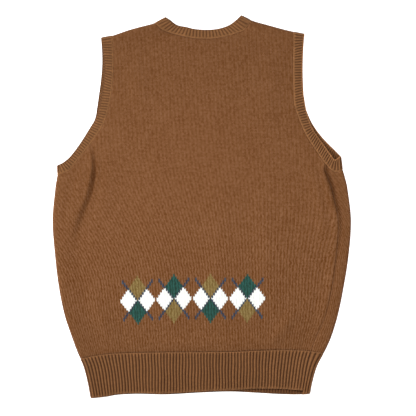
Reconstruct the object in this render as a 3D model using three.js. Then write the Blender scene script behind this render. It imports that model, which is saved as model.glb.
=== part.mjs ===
// Knitted sweater vest, laid flat with its back up: a back and a front in plain knit, a ribbed hem on each,
// a ribbed neckband and two ribbed armhole bands. Sizes are in millimetres.
// X runs across the garment, Y from the hem to the neck and Z up from the surface it lies on. The tables are
// read from the middle of the hem; the origin is under the middle of the whole garment.
import * as THREE from "three";

// The cloth and how its two layers lie.
const WALL = 2.2; // thickness of the knit
const SEAM_GAP = 0.3; // between two pieces at a seam
const LAYER_GAP = 0.3; // between front and back where they lie on each other
const FOLD_RADIUS = 3.6; // of the middle of the wall, where the cloth turns round an edge
const SEAM_UNDER_LEFT = 11; // the left side seam lies this far in from the fold, on the underside
const SHOULDER_SEAM = { left: 0, right: 5 }; // along the cloth from the shoulder fold, onto the back
const RIB_RISE = 0.7; // a rib's height over the valleys beside it
const HEM_RIB_PITCH = 5.4;
const ARMHOLE_RIB_PITCH = 4.9;
const NECK_RIB_PITCH = 6.4;

// Levels and lines of the plan.
const UNDERARM = 417; // above this height the sides run straight up
const YOKE = 545; // the armholes are nearly upright above this height
const NECK_LEFT = -85.8;
const NECK_RIGHT = 91.3;
const MIDDLE = { x: 0.1, y: 350.2 }; // of the whole garment, in the tables' own frame

// How far the swelling over a fold reaches in, and where it dies out above the underarm.
const SIDE_REACH = 46;
const SHOULDER_REACH = 34;
const SIDE_FADE = { from: 445, length: 60 };
const CREASE_MARGIN = 14; // soft folds die out over this distance from a fold

// Outer lines of the folded sides, and the right side seam, which lies on top.
const SIDES = [
  { y: 0, left: -202.5, right: 196.5, seam: 182 },
  { y: 30, left: -208, right: 202, seam: 187 },
  { y: 60, left: -216, right: 211, seam: 192 },
  { y: 82, left: -226, right: 222.5, seam: 198 },
  { y: 110, left: -236.5, right: 235.5, seam: 208 },
  { y: 150, left: -250, right: 248, seam: 225 },
  { y: 200, left: -260.5, right: 258.5, seam: 237 },
  { y: 260, left: -268, right: 268, seam: 245.5 },
  { y: 325, left: -272.5, right: 272.5, seam: 249 },
  { y: 384, left: -267.5, right: 266, seam: 237 },
  { y: 400, left: -265, right: 262.5, seam: 231.5 },
  { y: UNDERARM, left: -262, right: 257.5, seam: 224.5 },
];

// Outer line of the folded shoulders, carried on over the neck.
const SHOULDERS = [
  { x: -184, y: 657.2 },
  { x: -162, y: 662.5 },
  { x: -134.7, y: 672 },
  { x: -111.7, y: 678.5 },
  { x: NECK_LEFT, y: 685.5 },
  { x: -65.3, y: 696.6 },
  { x: 0, y: 730 },
  { x: 71, y: 699.6 },
  { x: NECK_RIGHT, y: 689.9 },
  { x: 117.4, y: 682.4 },
  { x: 150.3, y: 673.4 },
  { x: 172.2, y: 668.3 },
  { x: 187.5, y: 664.3 },
];

// Lower part of the armhole seams, by distance across: on top ("over") and on the underside ("under").
const ARMHOLE_CURVE = {
  over: {
    left: [
      { x: -262, y: 406.5 },
      { x: -249, y: 411.8 },
      { x: -239.8, y: 417.5 },
      { x: -226.6, y: 434.3 },
      { x: -209, y: 456.6 },
      { x: -188.5, y: 484.5 },
      { x: -175.5, y: 509 },
      { x: -165.7, y: YOKE },
    ],
    right: [
      { x: 166.5, y: YOKE },
      { x: 173.3, y: 521 },
      { x: 188.3, y: 484.5 },
      { x: 208.7, y: 452 },
      { x: 224.5, y: 429.7 },
      { x: 235.8, y: 417 },
      { x: 245, y: 412.5 },
      { x: 257.5, y: 417 },
    ],
  },
  under: {
    left: [
      { x: -262, y: 406.5 },
      { x: -250, y: 409 },
      { x: -238, y: 416 },
      { x: -226, y: 428.5 },
      { x: -212, y: 445 },
      { x: -198, y: 462.5 },
      { x: -186, y: 482 },
      { x: -177, y: 505 },
      { x: -168.5, y: YOKE },
    ],
    right: [
      { x: 168, y: YOKE },
      { x: 178, y: 506 },
      { x: 186, y: 490 },
      { x: 197, y: 473 },
      { x: 210, y: 458 },
      { x: 225, y: 444 },
      { x: 239, y: 430 },
      { x: 248, y: 422.5 },
      { x: 257.5, y: 417 },
    ],
  },
};

// Upper part of the armhole seams, by height.
const ARMHOLE_LINE = {
  over: [
    { y: YOKE, left: -165.7, right: 166.5 },
    { y: 574, left: -162, right: 165.8 },
    { y: 609, left: -160.3, right: 165.5 },
    { y: 636, left: -161, right: 165.8 },
    { y: 666, left: -162, right: 165.8 },
  ],
  under: [
    { y: YOKE, left: -168.5, right: 168 },
    { y: 578, left: -165, right: 166.5 },
    { y: 609, left: -164, right: 166 },
    { y: 636, left: -163.5, right: 166 },
    { y: 666, left: -162, right: 165.8 },
  ],
};

// The neck seams, by distance across.
const NECK_SEAM = {
  over: [
    { x: NECK_LEFT, y: 685.5 },
    { x: -75.7, y: 675.1 },
    { x: -56.2, y: 666.7 },
    { x: -33.7, y: 661 },
    { x: -14.2, y: 657.2 },
    { x: 5, y: 656.3 },
    { x: 22.2, y: 656.8 },
    { x: 44.5, y: 661 },
    { x: 64, y: 666.7 },
    { x: 80, y: 673.5 },
    { x: NECK_RIGHT, y: 689.9 },
  ],
  under: [
    { x: NECK_LEFT, y: 685.5 },
    { x: -83, y: 664 },
    { x: -76, y: 643 },
    { x: -62, y: 622 },
    { x: -40, y: 605 },
    { x: 0, y: 598 },
    { x: 40, y: 606 },
    { x: 64, y: 625 },
    { x: 80, y: 648 },
    { x: 88, y: 669 },
    { x: NECK_RIGHT, y: 689.9 },
  ],
};

// Top and bottom lines of the ribbed hem.
const HEM = [
  { x: -214, top: 72, back: 0, front: 0.5 },
  { x: -182, top: 78.5, back: 3, front: 2.5 },
  { x: -158, top: 81.5, back: 7.7, front: 6.2 },
  { x: -120, top: 83, back: 9, front: 8 },
  { x: -67, top: 84, back: 8.6, front: 7 },
  { x: -3, top: 84.4, back: 12.2, front: 10.4 },
  { x: 52, top: 85, back: 14.7, front: 12.2 },
  { x: 101, top: 87, back: 17.3, front: 10 },
  { x: 143, top: 88, back: 17.2, front: 7.7 },
  { x: 183, top: 86.8, back: 15, front: 7 },
  { x: 212, top: 81, back: 15, front: 9 },
];

// Free edges of the bands: where the edge lies at a share of the way along the seam, in the order in which
// each band's loop runs.
const NECK_EDGE = {
  over: [
    { along: 0, x: -65.3, y: 695.6 },
    { along: 0.074, x: -57.6, y: 690.4 },
    { along: 0.183, x: -45, y: 681.5 },
    { along: 0.301, x: -28, y: 678 },
    { along: 0.403, x: -12.9, y: 674.3 },
    { along: 0.501, x: 6, y: 673 },
    { along: 0.589, x: 22, y: 673.6 },
    { along: 0.705, x: 38, y: 676.8 },
    { along: 0.809, x: 52, y: 682.5 },
    { along: 0.898, x: 64, y: 691.5 },
    { along: 1, x: 71, y: 698.5 },
  ],
  under: [
    { along: 0, x: 71, y: 698.5 },
    { along: 0.065, x: 70, y: 680 },
    { along: 0.149, x: 63, y: 661 },
    { along: 0.255, x: 50, y: 641 },
    { along: 0.364, x: 31, y: 624.5 },
    { along: 0.509, x: 0, y: 616 },
    { along: 0.654, x: -31, y: 623.5 },
    { along: 0.754, x: -48, y: 638 },
    { along: 0.855, x: -60, y: 658 },
    { along: 0.937, x: -65, y: 678 },
    { along: 1, x: -65.3, y: 695.6 },
  ],
};

const LEFT_EDGE = {
  over: [
    { along: 0, x: -263.3, y: 425.3 },
    { along: 0.048, x: -257.5, y: 428 },
    { along: 0.085, x: -252, y: 431 },
    { along: 0.158, x: -239.5, y: 442 },
    { along: 0.261, x: -221.2, y: 466.8 },
    { along: 0.374, x: -205.3, y: 492 },
    { along: 0.465, x: -193.5, y: 512 },
    { along: 0.544, x: -187, y: 531 },
    { along: 0.621, x: -182.6, y: 553 },
    { along: 0.697, x: -178.5, y: 580 },
    { along: 0.817, x: -177.5, y: 610 },
    { along: 0.909, x: -180.4, y: 636.2 },
    { along: 1, x: -184, y: 657.2 },
  ],
  under: [
    { along: 0, x: -184, y: 657.2 },
    { along: 0.089, x: -182.4, y: 636 },
    { along: 0.181, x: -182, y: 610 },
    { along: 0.28, x: -184, y: 582 },
    { along: 0.366, x: -187.5, y: 556 },
    { along: 0.452, x: -191, y: 532 },
    { along: 0.54, x: -194, y: 514 },
    { along: 0.624, x: -201, y: 495 },
    { along: 0.702, x: -211.5, y: 478 },
    { along: 0.778, x: -225, y: 458.5 },
    { along: 0.852, x: -238, y: 441.5 },
    { along: 0.911, x: -247, y: 433 },
    { along: 0.955, x: -256, y: 428.5 },
    { along: 1, x: -263.3, y: 425.3 },
  ],
};

const RIGHT_EDGE = {
  over: [
    { along: 0, x: 187.5, y: 664.3 },
    { along: 0.112, x: 185.2, y: 640 },
    { along: 0.234, x: 183.9, y: 600 },
    { along: 0.36, x: 184.6, y: 566 },
    { along: 0.438, x: 187.8, y: 543 },
    { along: 0.504, x: 191.6, y: 522.5 },
    { along: 0.57, x: 198.2, y: 502 },
    { along: 0.676, x: 207.8, y: 483.6 },
    { along: 0.768, x: 223, y: 462.5 },
    { along: 0.846, x: 235.8, y: 444.5 },
    { along: 0.903, x: 242.5, y: 436 },
    { along: 0.954, x: 247.5, y: 438.5 },
    { along: 1, x: 253.1, y: 442.5 },
  ],
  under: [
    { along: 0, x: 253.1, y: 442.5 },
    { along: 0.051, x: 246, y: 450 },
    { along: 0.114, x: 238.9, y: 457.1 },
    { along: 0.221, x: 224.3, y: 471.7 },
    { along: 0.29, x: 212.2, y: 486.3 },
    { along: 0.361, x: 202.3, y: 501 },
    { along: 0.424, x: 195.2, y: 515.6 },
    { along: 0.519, x: 188, y: 537 },
    { along: 0.618, x: 185.5, y: 565 },
    { along: 0.758, x: 184.5, y: 600 },
    { along: 0.898, x: 185.5, y: 638 },
    { along: 1, x: 187.5, y: 664.3 },
  ],
};

// Soft folds of the top layer: a ridge (rise over 0) or a trough along a line that bows to its right.
const CREASES = [
  { fromX: -199, fromY: 462, toX: -236, toY: 286, bow: -13, width: 9, rise: -6 },
  { fromX: -240, fromY: 425, toX: -256, toY: 250, bow: -3, width: 15, rise: 3.6 },
  { fromX: -170, fromY: 470, toX: -196, toY: 300, bow: -10, width: 16, rise: 2.2 },
  { fromX: 219, fromY: 436, toX: 209, toY: 112, bow: -36, width: 6, rise: -3.4 },
  { fromX: 196, fromY: 440, toX: 226, toY: 250, bow: -8, width: 14, rise: 2.4 },
  { fromX: -203, fromY: 172, toX: -146, toY: 108, bow: 4, width: 12, rise: 2.6 },
  { fromX: -168, fromY: 182, toX: -118, toY: 112, bow: 4, width: 12, rise: -1.6 },
  { fromX: 172, fromY: 168, toX: 122, toY: 96, bow: -4, width: 12, rise: 2.4 },
  { fromX: -86, fromY: 420, toX: -70, toY: 120, bow: 6, width: 24, rise: 1.5 },
  { fromX: 30, fromY: 470, toX: 22, toY: 130, bow: -7, width: 26, rise: 1.2 },
  { fromX: 118, fromY: 400, toX: 128, toY: 150, bow: 5, width: 22, rise: 1.5 },
  { fromX: -206, fromY: 100, toX: 200, toY: 108, bow: 3, width: 15, rise: 1.8 },
  { fromX: -120, fromY: 640, toX: -96, toY: 500, bow: 5, width: 20, rise: 1.4 },
  { fromX: 128, fromY: 630, toX: 104, toY: 480, bow: -6, width: 22, rise: 1.4 },
];

// How finely the pieces are divided.
const COLUMNS = { wrap: 3, fold: 6, side: 9, shoulder: 6, neck: 14 };
const LOWER_ROWS = 14;
const YOKE_ROWS = 5;
const STRIP_ROWS = 4; // of the strip of each panel that turns round a shoulder fold to the seam
const SHORTEST_STRIP = 3;
const HEM_ROWS = 2;
const HEM_COLUMNS_UNDER = 18;
const HEM_MIDDLE = 40;
const RIB_PROFILE = [
  { at: 0, rise: 0 },
  { at: 0.3, rise: 1 },
  { at: 0.7, rise: 1 },
];

const QUARTER_TURN = (FOLD_RADIUS * Math.PI) / 2;
const FOLD_CENTRE = WALL / 2 + FOLD_RADIUS;
const TOP_LAYER = WALL + LAYER_GAP + WALL / 2;
const FOLD_LIFT = FOLD_CENTRE + FOLD_RADIUS - TOP_LAYER;
const SETTLE = 0.5; // how softly a trough runs out where the layers meet
const PROBE = 0.4; // how far apart the slopes are measured
const CREASE_FADE = 0.8; // power of the sine that a soft fold fades by towards its ends

// One column of a table at one value of its key, on a smooth curve through the rows, level beyond its ends.
function read(table, key, column, at) {
  const last = table.length - 1;
  if (at <= table[0][key]) return table[0][column];
  if (at >= table[last][key]) return table[last][column];
  const i = table.findIndex((row) => row[key] > at) - 1;
  const slope = (n) => {
    const before = table[Math.max(n - 1, 0)];
    const after = table[Math.min(n + 1, last)];
    return (after[column] - before[column]) / (after[key] - before[key]);
  };
  const step = table[i + 1][key] - table[i][key];
  const s = (at - table[i][key]) / step;
  const start = table[i][column] * (1 + 2 * s) * (1 - s) ** 2 + slope(i) * step * s * (1 - s) ** 2;
  const end = table[i + 1][column] * s * s * (3 - 2 * s) - slope(i + 1) * step * s * s * (1 - s);
  return start + end;
}

const mix = THREE.MathUtils.lerp;
const share = (from, to, at) => (at - from) / (to - from);
const ease = (t) => THREE.MathUtils.smoothstep(t, 0, 1);

// Middle of the wall at its outermost, on each side and over the shoulders.
const leftFold = (y) => read(SIDES, "y", "left", y) + WALL / 2;
const rightFold = (y) => read(SIDES, "y", "right", y) - WALL / 2;
const shoulderFold = (x) => read(SHOULDERS, "x", "y", x) - WALL / 2;

// Round a fold, the way in from its outermost line at a run along the cloth, and the run that goes in so far.
function inset(run) {
  const length = Math.abs(run);
  return length < QUARTER_TURN
    ? FOLD_RADIUS * (1 - Math.cos(length / FOLD_RADIUS))
    : length - QUARTER_TURN + FOLD_RADIUS;
}
const runTo = (inward) => inward - FOLD_RADIUS + QUARTER_TURN;

// Height of the wall's middle over or under a fold's centre, close to its outermost line.
const turn = (inward) => Math.sqrt(Math.max(0, FOLD_RADIUS ** 2 - (FOLD_RADIUS - inward) ** 2));

const fromFold = (x, y) => Math.min(x - leftFold(y), rightFold(y) - x, shoulderFold(x) - y);

// The cloth's swell beside a fold, which dies out at its reach.
const swell = (inward, reach) => FOLD_LIFT * (1 - ease((inward - FOLD_RADIUS) / reach));

// Rise of one soft fold at a point: a round-backed wave across it, fading towards both its ends.
function crease({ fromX, fromY, toX, toY, bow, width, rise }, x, y) {
  const length = Math.hypot(toX - fromX, toY - fromY);
  const along = [(toX - fromX) / length, (toY - fromY) / length];
  const part = ((x - fromX) * along[0] + (y - fromY) * along[1]) / length;
  if (part <= 0 || part >= 1) return 0;
  const across = (x - fromX) * along[1] - (y - fromY) * along[0];
  const off = (across - bow * 4 * part * (1 - part)) / width;
  return rise * Math.exp(-off * off) * Math.sin(Math.PI * part) ** CREASE_FADE;
}

// Height of the wall's middle in the top layer.
function overHeight(x, y) {
  const inward = fromFold(x, y);
  if (inward < FOLD_RADIUS) return FOLD_CENTRE + turn(inward);
  const fade = 1 - ease((y - SIDE_FADE.from) / SIDE_FADE.length);
  const side = fade * swell(Math.min(x - leftFold(y), rightFold(y) - x), SIDE_REACH);
  const shoulder = swell(shoulderFold(x) - y, SHOULDER_REACH);
  const folds = CREASES.reduce((sum, row) => sum + crease(row, x, y), 0);
  const lift = Math.max(side, shoulder) + folds * ease((inward - FOLD_RADIUS) / CREASE_MARGIN);
  return TOP_LAYER + (lift + Math.hypot(lift, SETTLE)) / 2;
}

// Height of the wall's middle in the layer underneath, which lies flat.
function underHeight(x, y) {
  const inward = fromFold(x, y);
  return inward < FOLD_RADIUS ? FOLD_CENTRE - turn(inward) : WALL / 2;
}

// A spot on the middle of the wall: its point, and the way its outer face looks there. Round a fold the wall
// looks away from the fold's centre line; elsewhere it follows the slope of its layer.
function spot(layer, x, y) {
  const over = layer === "over";
  const z = over ? overHeight(x, y) : underHeight(x, y);
  const slope = (shoulderFold(x + PROBE) - shoulderFold(x - PROBE)) / (2 * PROBE);
  const folds = [
    { inward: x - leftFold(y), out: [-1, 0] },
    { inward: rightFold(y) - x, out: [1, 0] },
    { inward: shoulderFold(x) - y, out: [-slope, 1] },
  ];
  const { inward, out } = folds.reduce((nearest, fold) => (fold.inward < nearest.inward ? fold : nearest));
  const normal = new THREE.Vector3(0, 0, over ? 1 : -1);
  if (inward < FOLD_RADIUS) {
    normal.set(out[0], out[1], 0).setLength((FOLD_RADIUS - inward) / FOLD_RADIUS);
    normal.z = (z - FOLD_CENTRE) / FOLD_RADIUS;
  } else if (over) {
    normal.x = (overHeight(x - PROBE, y) - overHeight(x + PROBE, y)) / (2 * PROBE);
    normal.y = (overHeight(x, y - PROBE) - overHeight(x, y + PROBE)) / (2 * PROBE);
  }
  const point = new THREE.Vector3(x, y, z);
  return { layer, point, normal: normal.normalize(), turning: inward < FOLD_RADIUS };
}

// Middle surface of a piece: spots with a rise each, and the triangles between them.
class Sheet {
  spots = [];
  rises = [];
  faces = [];

  add(spot, rise = 0) {
    this.rises.push(rise);
    return this.spots.push(spot) - 1;
  }

  // Joins the points that number(i, j) gives into squares. They face up where i runs along X and j along Y.
  grid(columns, rows, number) {
    const index = [];
    for (let i = 0; i <= columns; i++) {
      index.push([]);
      for (let j = 0; j <= rows; j++) index[i].push(number(i, j, index));
    }
    for (let i = 0; i < columns; i++) {
      for (let j = 0; j < rows; j++) {
        const [a, b, c, d] = [index[i][j], index[i + 1][j], index[i + 1][j + 1], index[i][j + 1]];
        this.faces.push(a, b, c, a, c, d);
      }
    }
    return index;
  }

  // A closed wall round the middle surface: an outer face that carries the ribs, a plain inner face, and rims.
  wall() {
    const count = this.spots.length;
    const corners = new Float32Array(count * 6);
    this.spots.forEach(({ point, normal }, n) => {
      const outer = point.clone().addScaledVector(normal, WALL / 2 + this.rises[n]);
      const inner = point.clone().addScaledVector(normal, -WALL / 2);
      outer.z = Math.max(outer.z, 0);
      inner.z = Math.max(inner.z, 0);
      outer.toArray(corners, n * 3);
      inner.toArray(corners, (count + n) * 3);
    });
    const edges = new Set();
    const triangles = [];
    for (let f = 0; f < this.faces.length; f += 3) {
      const [a, b, c] = this.faces.slice(f, f + 3);
      triangles.push(a, b, c, count + c, count + b, count + a);
      [[a, b], [b, c], [c, a]].forEach(([from, to]) => edges.add(from + "," + to));
    }
    for (const edge of edges) {
      const [from, to] = edge.split(",").map(Number);
      if (edges.has(to + "," + from)) continue;
      triangles.push(to, from, count + from, to, count + from, count + to);
    }
    const wall = new THREE.BufferGeometry();
    wall.setAttribute("position", new THREE.BufferAttribute(corners, 3));
    wall.setIndex(triangles);
    wall.computeVertexNormals();
    return wall;
  }
}

// The back, from the side seam under the left fold over the top to the right side seam, or the front, from that
// seam round the right fold and back underneath. A run is measured along the cloth from the piece's own fold,
// positive on top, and columns follow the cloth so that its outer face faces out.
class Panel {
  constructor(side) {
    this.side = side;
    this.sign = side === "back" ? 1 : -1;
    this.layer = side === "back" ? "over" : "under";
  }

  fold(y) {
    return this.side === "back" ? leftFold(y) : rightFold(y);
  }

  // How far in from its fold the piece reaches, on top and underneath.
  reach(layer, y) {
    const seam = read(SIDES, "y", "seam", y);
    const widths = {
      back: { over: seam - leftFold(y), under: SEAM_UNDER_LEFT },
      front: { over: rightFold(y) - seam, under: rightFold(y) - leftFold(y) - SEAM_UNDER_LEFT },
    };
    return widths[this.side][layer] - SEAM_GAP / 2;
  }

  // The run at height y of the column that has a run on one level: the flat of the cloth widens, the fold
  // doesn't.
  spread(run, level, y) {
    const layer = run > 0 ? "over" : "under";
    const flat = Math.max(0, Math.abs(run) - QUARTER_TURN);
    if (flat === 0) return run;
    const wider = (this.reach(layer, y) - FOLD_RADIUS) / (this.reach(layer, level) - FOLD_RADIUS);
    return Math.sign(run) * (QUARTER_TURN + flat * wider);
  }

  across(run, level, y) {
    return this.fold(y) + this.sign * inset(this.spread(run, level, y));
  }

  spotAt(run, level, y) {
    return spot(run >= 0 ? "over" : "under", this.across(run, level, y), y);
  }

  // Columns at the underarm, as runs, and the numbers of those that bound the shoulders and the neck.
  columns() {
    const other = this.layer === "over" ? "under" : "over";
    const runAt = (x) => this.sign * runTo(Math.abs(x - this.fold(UNDERARM)));
    const ends = {
      over: runTo(this.reach("over", UNDERARM)),
      under: -runTo(this.reach("under", UNDERARM)),
    };
    const yoke = ARMHOLE_LINE[this.layer][0];
    const inner = [yoke.left, NECK_LEFT, NECK_RIGHT, yoke.right];
    if (this.side === "front") inner.reverse();
    const turnEnd = this.sign * QUARTER_TURN;
    const stops = [
      { run: ends[other], parts: 0 },
      { run: -turnEnd, parts: COLUMNS.wrap },
      { run: turnEnd, parts: COLUMNS.fold },
      { run: runAt(inner[0]), parts: COLUMNS.side },
      { run: runAt(inner[1]), parts: COLUMNS.shoulder },
      { run: runAt(inner[2]), parts: COLUMNS.neck },
      { run: runAt(inner[3]), parts: COLUMNS.shoulder },
      { run: ends[this.layer], parts: COLUMNS.side },
    ];
    const runs = [stops[0].run];
    const marks = [0];
    for (let n = 1; n < stops.length; n++) {
      for (let k = 1; k <= stops[n].parts; k++) {
        runs.push(mix(stops[n - 1].run, stops[n].run, k / stops[n].parts));
      }
      marks.push(runs.length - 1);
    }
    return { runs, yokeFrom: marks[3], neckFrom: marks[4], neckTo: marks[5], yokeTo: marks[6] };
  }

  // Height at which a column of the lower part ends: on the armhole seam, or at the yoke line.
  lowerEnd(run) {
    const curve = ARMHOLE_CURVE[run >= 0 ? "over" : "under"];
    const x = this.fold(UNDERARM) + this.sign * inset(run);
    if (x < curve.left.at(-1).x) return read(curve.left, "x", "y", x);
    if (x > curve.right[0].x) return read(curve.right, "x", "y", x);
    return YOKE;
  }

  // Distance across to column i of the part over the yoke line, at height y.
  acrossYoke(i, y, marks) {
    const line = ARMHOLE_LINE[this.layer];
    const left = { seam: read(line, "y", "left", y), neck: NECK_LEFT };
    const right = { seam: read(line, "y", "right", y), neck: NECK_RIGHT };
    const [first, last] = this.side === "back" ? [left, right] : [right, left];
    if (i < marks.neckFrom) return mix(first.seam, first.neck, share(marks.yokeFrom, marks.neckFrom, i));
    if (i <= marks.neckTo) return mix(first.neck, last.neck, share(marks.neckFrom, marks.neckTo, i));
    return mix(last.neck, last.seam, share(marks.neckTo, marks.yokeTo, i));
  }

  // Runs from the shoulder fold: of the shoulder seam, and of the line where the strip round the fold begins.
  shoulderRuns(x) {
    const seam = SHOULDER_SEAM[x < 0 ? "left" : "right"] + (this.sign * SEAM_GAP) / 2;
    const begin = this.sign * Math.max(QUARTER_TURN, this.sign * seam + SHORTEST_STRIP);
    return { seam, begin };
  }

  // Spot j of column i between the yoke line and the neck seam, or the strip round the shoulder fold.
  yokeSpot(i, j, marks) {
    const x = this.acrossYoke(i, ARMHOLE_LINE.over.at(-1).y, marks);
    const underNeck = i > marks.neckFrom && i < marks.neckTo;
    const end = underNeck
      ? read(NECK_SEAM[this.layer], "x", "y", x)
      : shoulderFold(x) - inset(this.shoulderRuns(x).begin);
    const y = mix(YOKE, end, j / YOKE_ROWS);
    return spot(this.layer, this.acrossYoke(i, y, marks), y);
  }

  // Spot j of column i in the strip from there round the fold to the shoulder seam.
  stripSpot(i, j, marks) {
    const x = this.acrossYoke(i, ARMHOLE_LINE.over.at(-1).y, marks);
    const { seam, begin } = this.shoulderRuns(x);
    const run = mix(begin, seam, j / STRIP_ROWS);
    return spot(run >= 0 ? "over" : "under", x, shoulderFold(x) - inset(run));
  }

  // The panel's sheet and its seam lines: the armhole it meets first, the neck, and the armhole it meets last.
  build() {
    const sheet = new Sheet();
    const marks = this.columns();
    const { runs, yokeFrom, neckFrom, neckTo, yokeTo } = marks;
    const lower = sheet.grid(runs.length - 1, LOWER_ROWS, (i, j) => {
      const base = this.across(runs[i], UNDERARM, HEM_MIDDLE);
      const y = mix(read(HEM, "x", "top", base), this.lowerEnd(runs[i]), j / LOWER_ROWS);
      return sheet.add(this.spotAt(runs[i], UNDERARM, y));
    });
    const yoke = sheet.grid(yokeTo - yokeFrom, YOKE_ROWS, (i, j) =>
      j === 0 ? lower[yokeFrom + i][LOWER_ROWS] : sheet.add(this.yokeSpot(yokeFrom + i, j, marks)),
    );
    const strip = (from, to) =>
      sheet.grid(to - from, STRIP_ROWS, (i, j) =>
        j === 0 ? yoke[from - yokeFrom + i][YOKE_ROWS] : sheet.add(this.stripSpot(from + i, j, marks)),
      );
    const firstStrip = strip(yokeFrom, neckFrom);
    const lastStrip = strip(neckTo, yokeTo);
    const spots = (numbers) => numbers.map((n) => sheet.spots[n]);
    const lowerTop = lower.map((column) => column[LOWER_ROWS]);
    const neckTops = yoke.slice(neckFrom - yokeFrom + 1, neckTo - yokeFrom).map((c) => c[YOKE_ROWS]);
    return {
      sheet,
      firstArmhole: spots([...lowerTop.slice(0, yokeFrom), ...yoke[0], ...firstStrip[0].slice(1)]),
      neck: spots([...firstStrip.at(-1).toReversed(), ...neckTops, ...lastStrip[0]]),
      lastArmhole: spots([
        ...lastStrip.at(-1).slice(1).toReversed(),
        ...yoke.at(-1).toReversed(),
        ...lowerTop.slice(yokeTo + 1),
      ]),
    };
  }
}

// Stations round a band: the panels' seam spots, each with the free edge's spot beside it. The loop starts
// where it comes up onto the top layer.
function stations(seamLoop, edge) {
  const start = seamLoop.findIndex(({ layer }, n) => layer === "over" && seamLoop.at(n - 1).layer === "under");
  const loop = [...seamLoop.slice(start), ...seamLoop.slice(0, start)];
  const split = loop.findIndex(({ layer }) => layer === "under");
  const halves = [
    { layer: "over", seams: loop.slice(0, split) },
    { layer: "under", seams: loop.slice(split) },
  ];
  return halves.flatMap(({ layer, seams }) => {
    const lengths = [0];
    for (let n = 1; n < seams.length; n++) {
      const [a, b] = [seams[n - 1].point, seams[n].point];
      lengths.push(lengths[n - 1] + Math.hypot(b.x - a.x, b.y - a.y));
    }
    return seams.map(({ point, normal, turning }, n) => {
      const along = lengths[n] / lengths.at(-1);
      const free = spot(layer, read(edge[layer], "along", "x", along), read(edge[layer], "along", "y", along));
      if (turning) {
        free.point.z = point.z;
        free.normal = normal;
      }
      const outward = free.point.clone().sub(point).setZ(0).normalize();
      return { seam: { point: point.clone().addScaledVector(outward, SEAM_GAP), normal }, free, layer };
    });
  });
}

// The spot at a share of the way from one spot to another.
function between(from, to, at) {
  return {
    point: from.point.clone().lerp(to.point, at),
    normal: from.normal.clone().lerp(to.normal, at).normalize(),
  };
}

// A ribbed band round a loop of seam spots. Ribs stand on its top half; the half underneath lies flat.
function band(seamLoop, edge, pitch) {
  const stops = stations(seamLoop, edge);
  const over = stops.filter((stop) => stop.layer === "over");
  const under = stops.filter((stop) => stop.layer === "under");
  const path = [...over, under[0]];
  const middle = path.map((stop) => between(stop.seam, stop.free, 0.5).point);
  const lengths = [0];
  for (let n = 1; n < path.length; n++) lengths.push(lengths[n - 1] + middle[n].distanceTo(middle[n - 1]));
  const ribs = Math.round(lengths.at(-1) / pitch);
  const rings = [];
  for (let rib = 0; rib < ribs; rib++) {
    for (const { at, rise } of RIB_PROFILE) {
      const along = ((rib + at) / ribs) * lengths.at(-1);
      const n = Math.max(1, lengths.findIndex((length) => length >= along));
      const part = share(lengths[n - 1], lengths[n], along);
      rings.push({
        seam: between(path[n - 1].seam, path[n].seam, part),
        free: between(path[n - 1].free, path[n].free, part),
        rise: rise * RIB_RISE,
      });
    }
  }
  under.forEach(({ seam, free }) => rings.push({ seam, free, rise: 0 }));
  const sheet = new Sheet();
  sheet.grid(rings.length, 1, (i, j, index) => {
    if (i === rings.length) return index[0][j];
    return sheet.add(j === 0 ? rings[i].seam : rings[i].free, rings[i].rise);
  });
  return sheet;
}

// A ribbed hem: ribs wherever it lies on top or turns round a fold, plain where it lies flat underneath.
function hem(panel) {
  const over = runTo(panel.reach("over", HEM_MIDDLE));
  const under = runTo(panel.reach("under", HEM_MIDDLE));
  const plain = panel.side === "front";
  const ribbedFrom = plain ? -QUARTER_TURN : -under;
  const ribs = Math.round((over - ribbedFrom) / HEM_RIB_PITCH);
  const columns = [];
  for (let rib = 0; rib < ribs; rib++) {
    for (const { at, rise } of RIB_PROFILE) {
      columns.push({ run: mix(ribbedFrom, over, (rib + at) / ribs), rise: rise * RIB_RISE });
    }
  }
  columns.push({ run: over, rise: 0 });
  if (plain) {
    for (let n = 1; n <= HEM_COLUMNS_UNDER; n++) {
      columns.unshift({ run: mix(-QUARTER_TURN, -under, n / HEM_COLUMNS_UNDER), rise: 0 });
    }
    columns.reverse();
  }
  const sheet = new Sheet();
  sheet.grid(columns.length - 1, HEM_ROWS, (i, j) => {
    const { run, rise } = columns[i];
    const x = panel.across(run, HEM_MIDDLE, HEM_MIDDLE);
    const y = mix(read(HEM, "x", panel.side, x), read(HEM, "x", "top", x) - SEAM_GAP, j / HEM_ROWS);
    return sheet.add(panel.spotAt(run, HEM_MIDDLE, y), rise);
  });
  return sheet;
}

const plainKnit = new THREE.MeshStandardMaterial({ color: 0x82563a, roughness: 0.95, metalness: 0 });
const ribKnit = new THREE.MeshStandardMaterial({ color: 0x6e4a2f, roughness: 0.95, metalness: 0 });

const vest = new THREE.Group();
vest.position.set(-MIDDLE.x, -MIDDLE.y, 0);

function addPiece(name, sheet, material) {
  const piece = new THREE.Mesh(sheet.wall(), material.clone());
  piece.name = name;
  vest.add(piece);
}

const backPanel = new Panel("back");
const frontPanel = new Panel("front");
const back = backPanel.build();
const front = frontPanel.build();

addPiece("back_panel", back.sheet, plainKnit);
addPiece("front_panel", front.sheet, plainKnit);
addPiece("hem_rib_back", hem(backPanel), ribKnit);
addPiece("hem_rib_front", hem(frontPanel), ribKnit);
addPiece("neckband", band([...back.neck, ...front.neck], NECK_EDGE, NECK_RIB_PITCH), ribKnit);
addPiece(
  "armhole_band_left",
  band([...front.lastArmhole, ...back.firstArmhole], LEFT_EDGE, ARMHOLE_RIB_PITCH),
  ribKnit,
);
addPiece(
  "armhole_band_right",
  band([...back.lastArmhole, ...front.firstArmhole], RIGHT_EDGE, ARMHOLE_RIB_PITCH),
  ribKnit,
);

export default vest;
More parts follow.
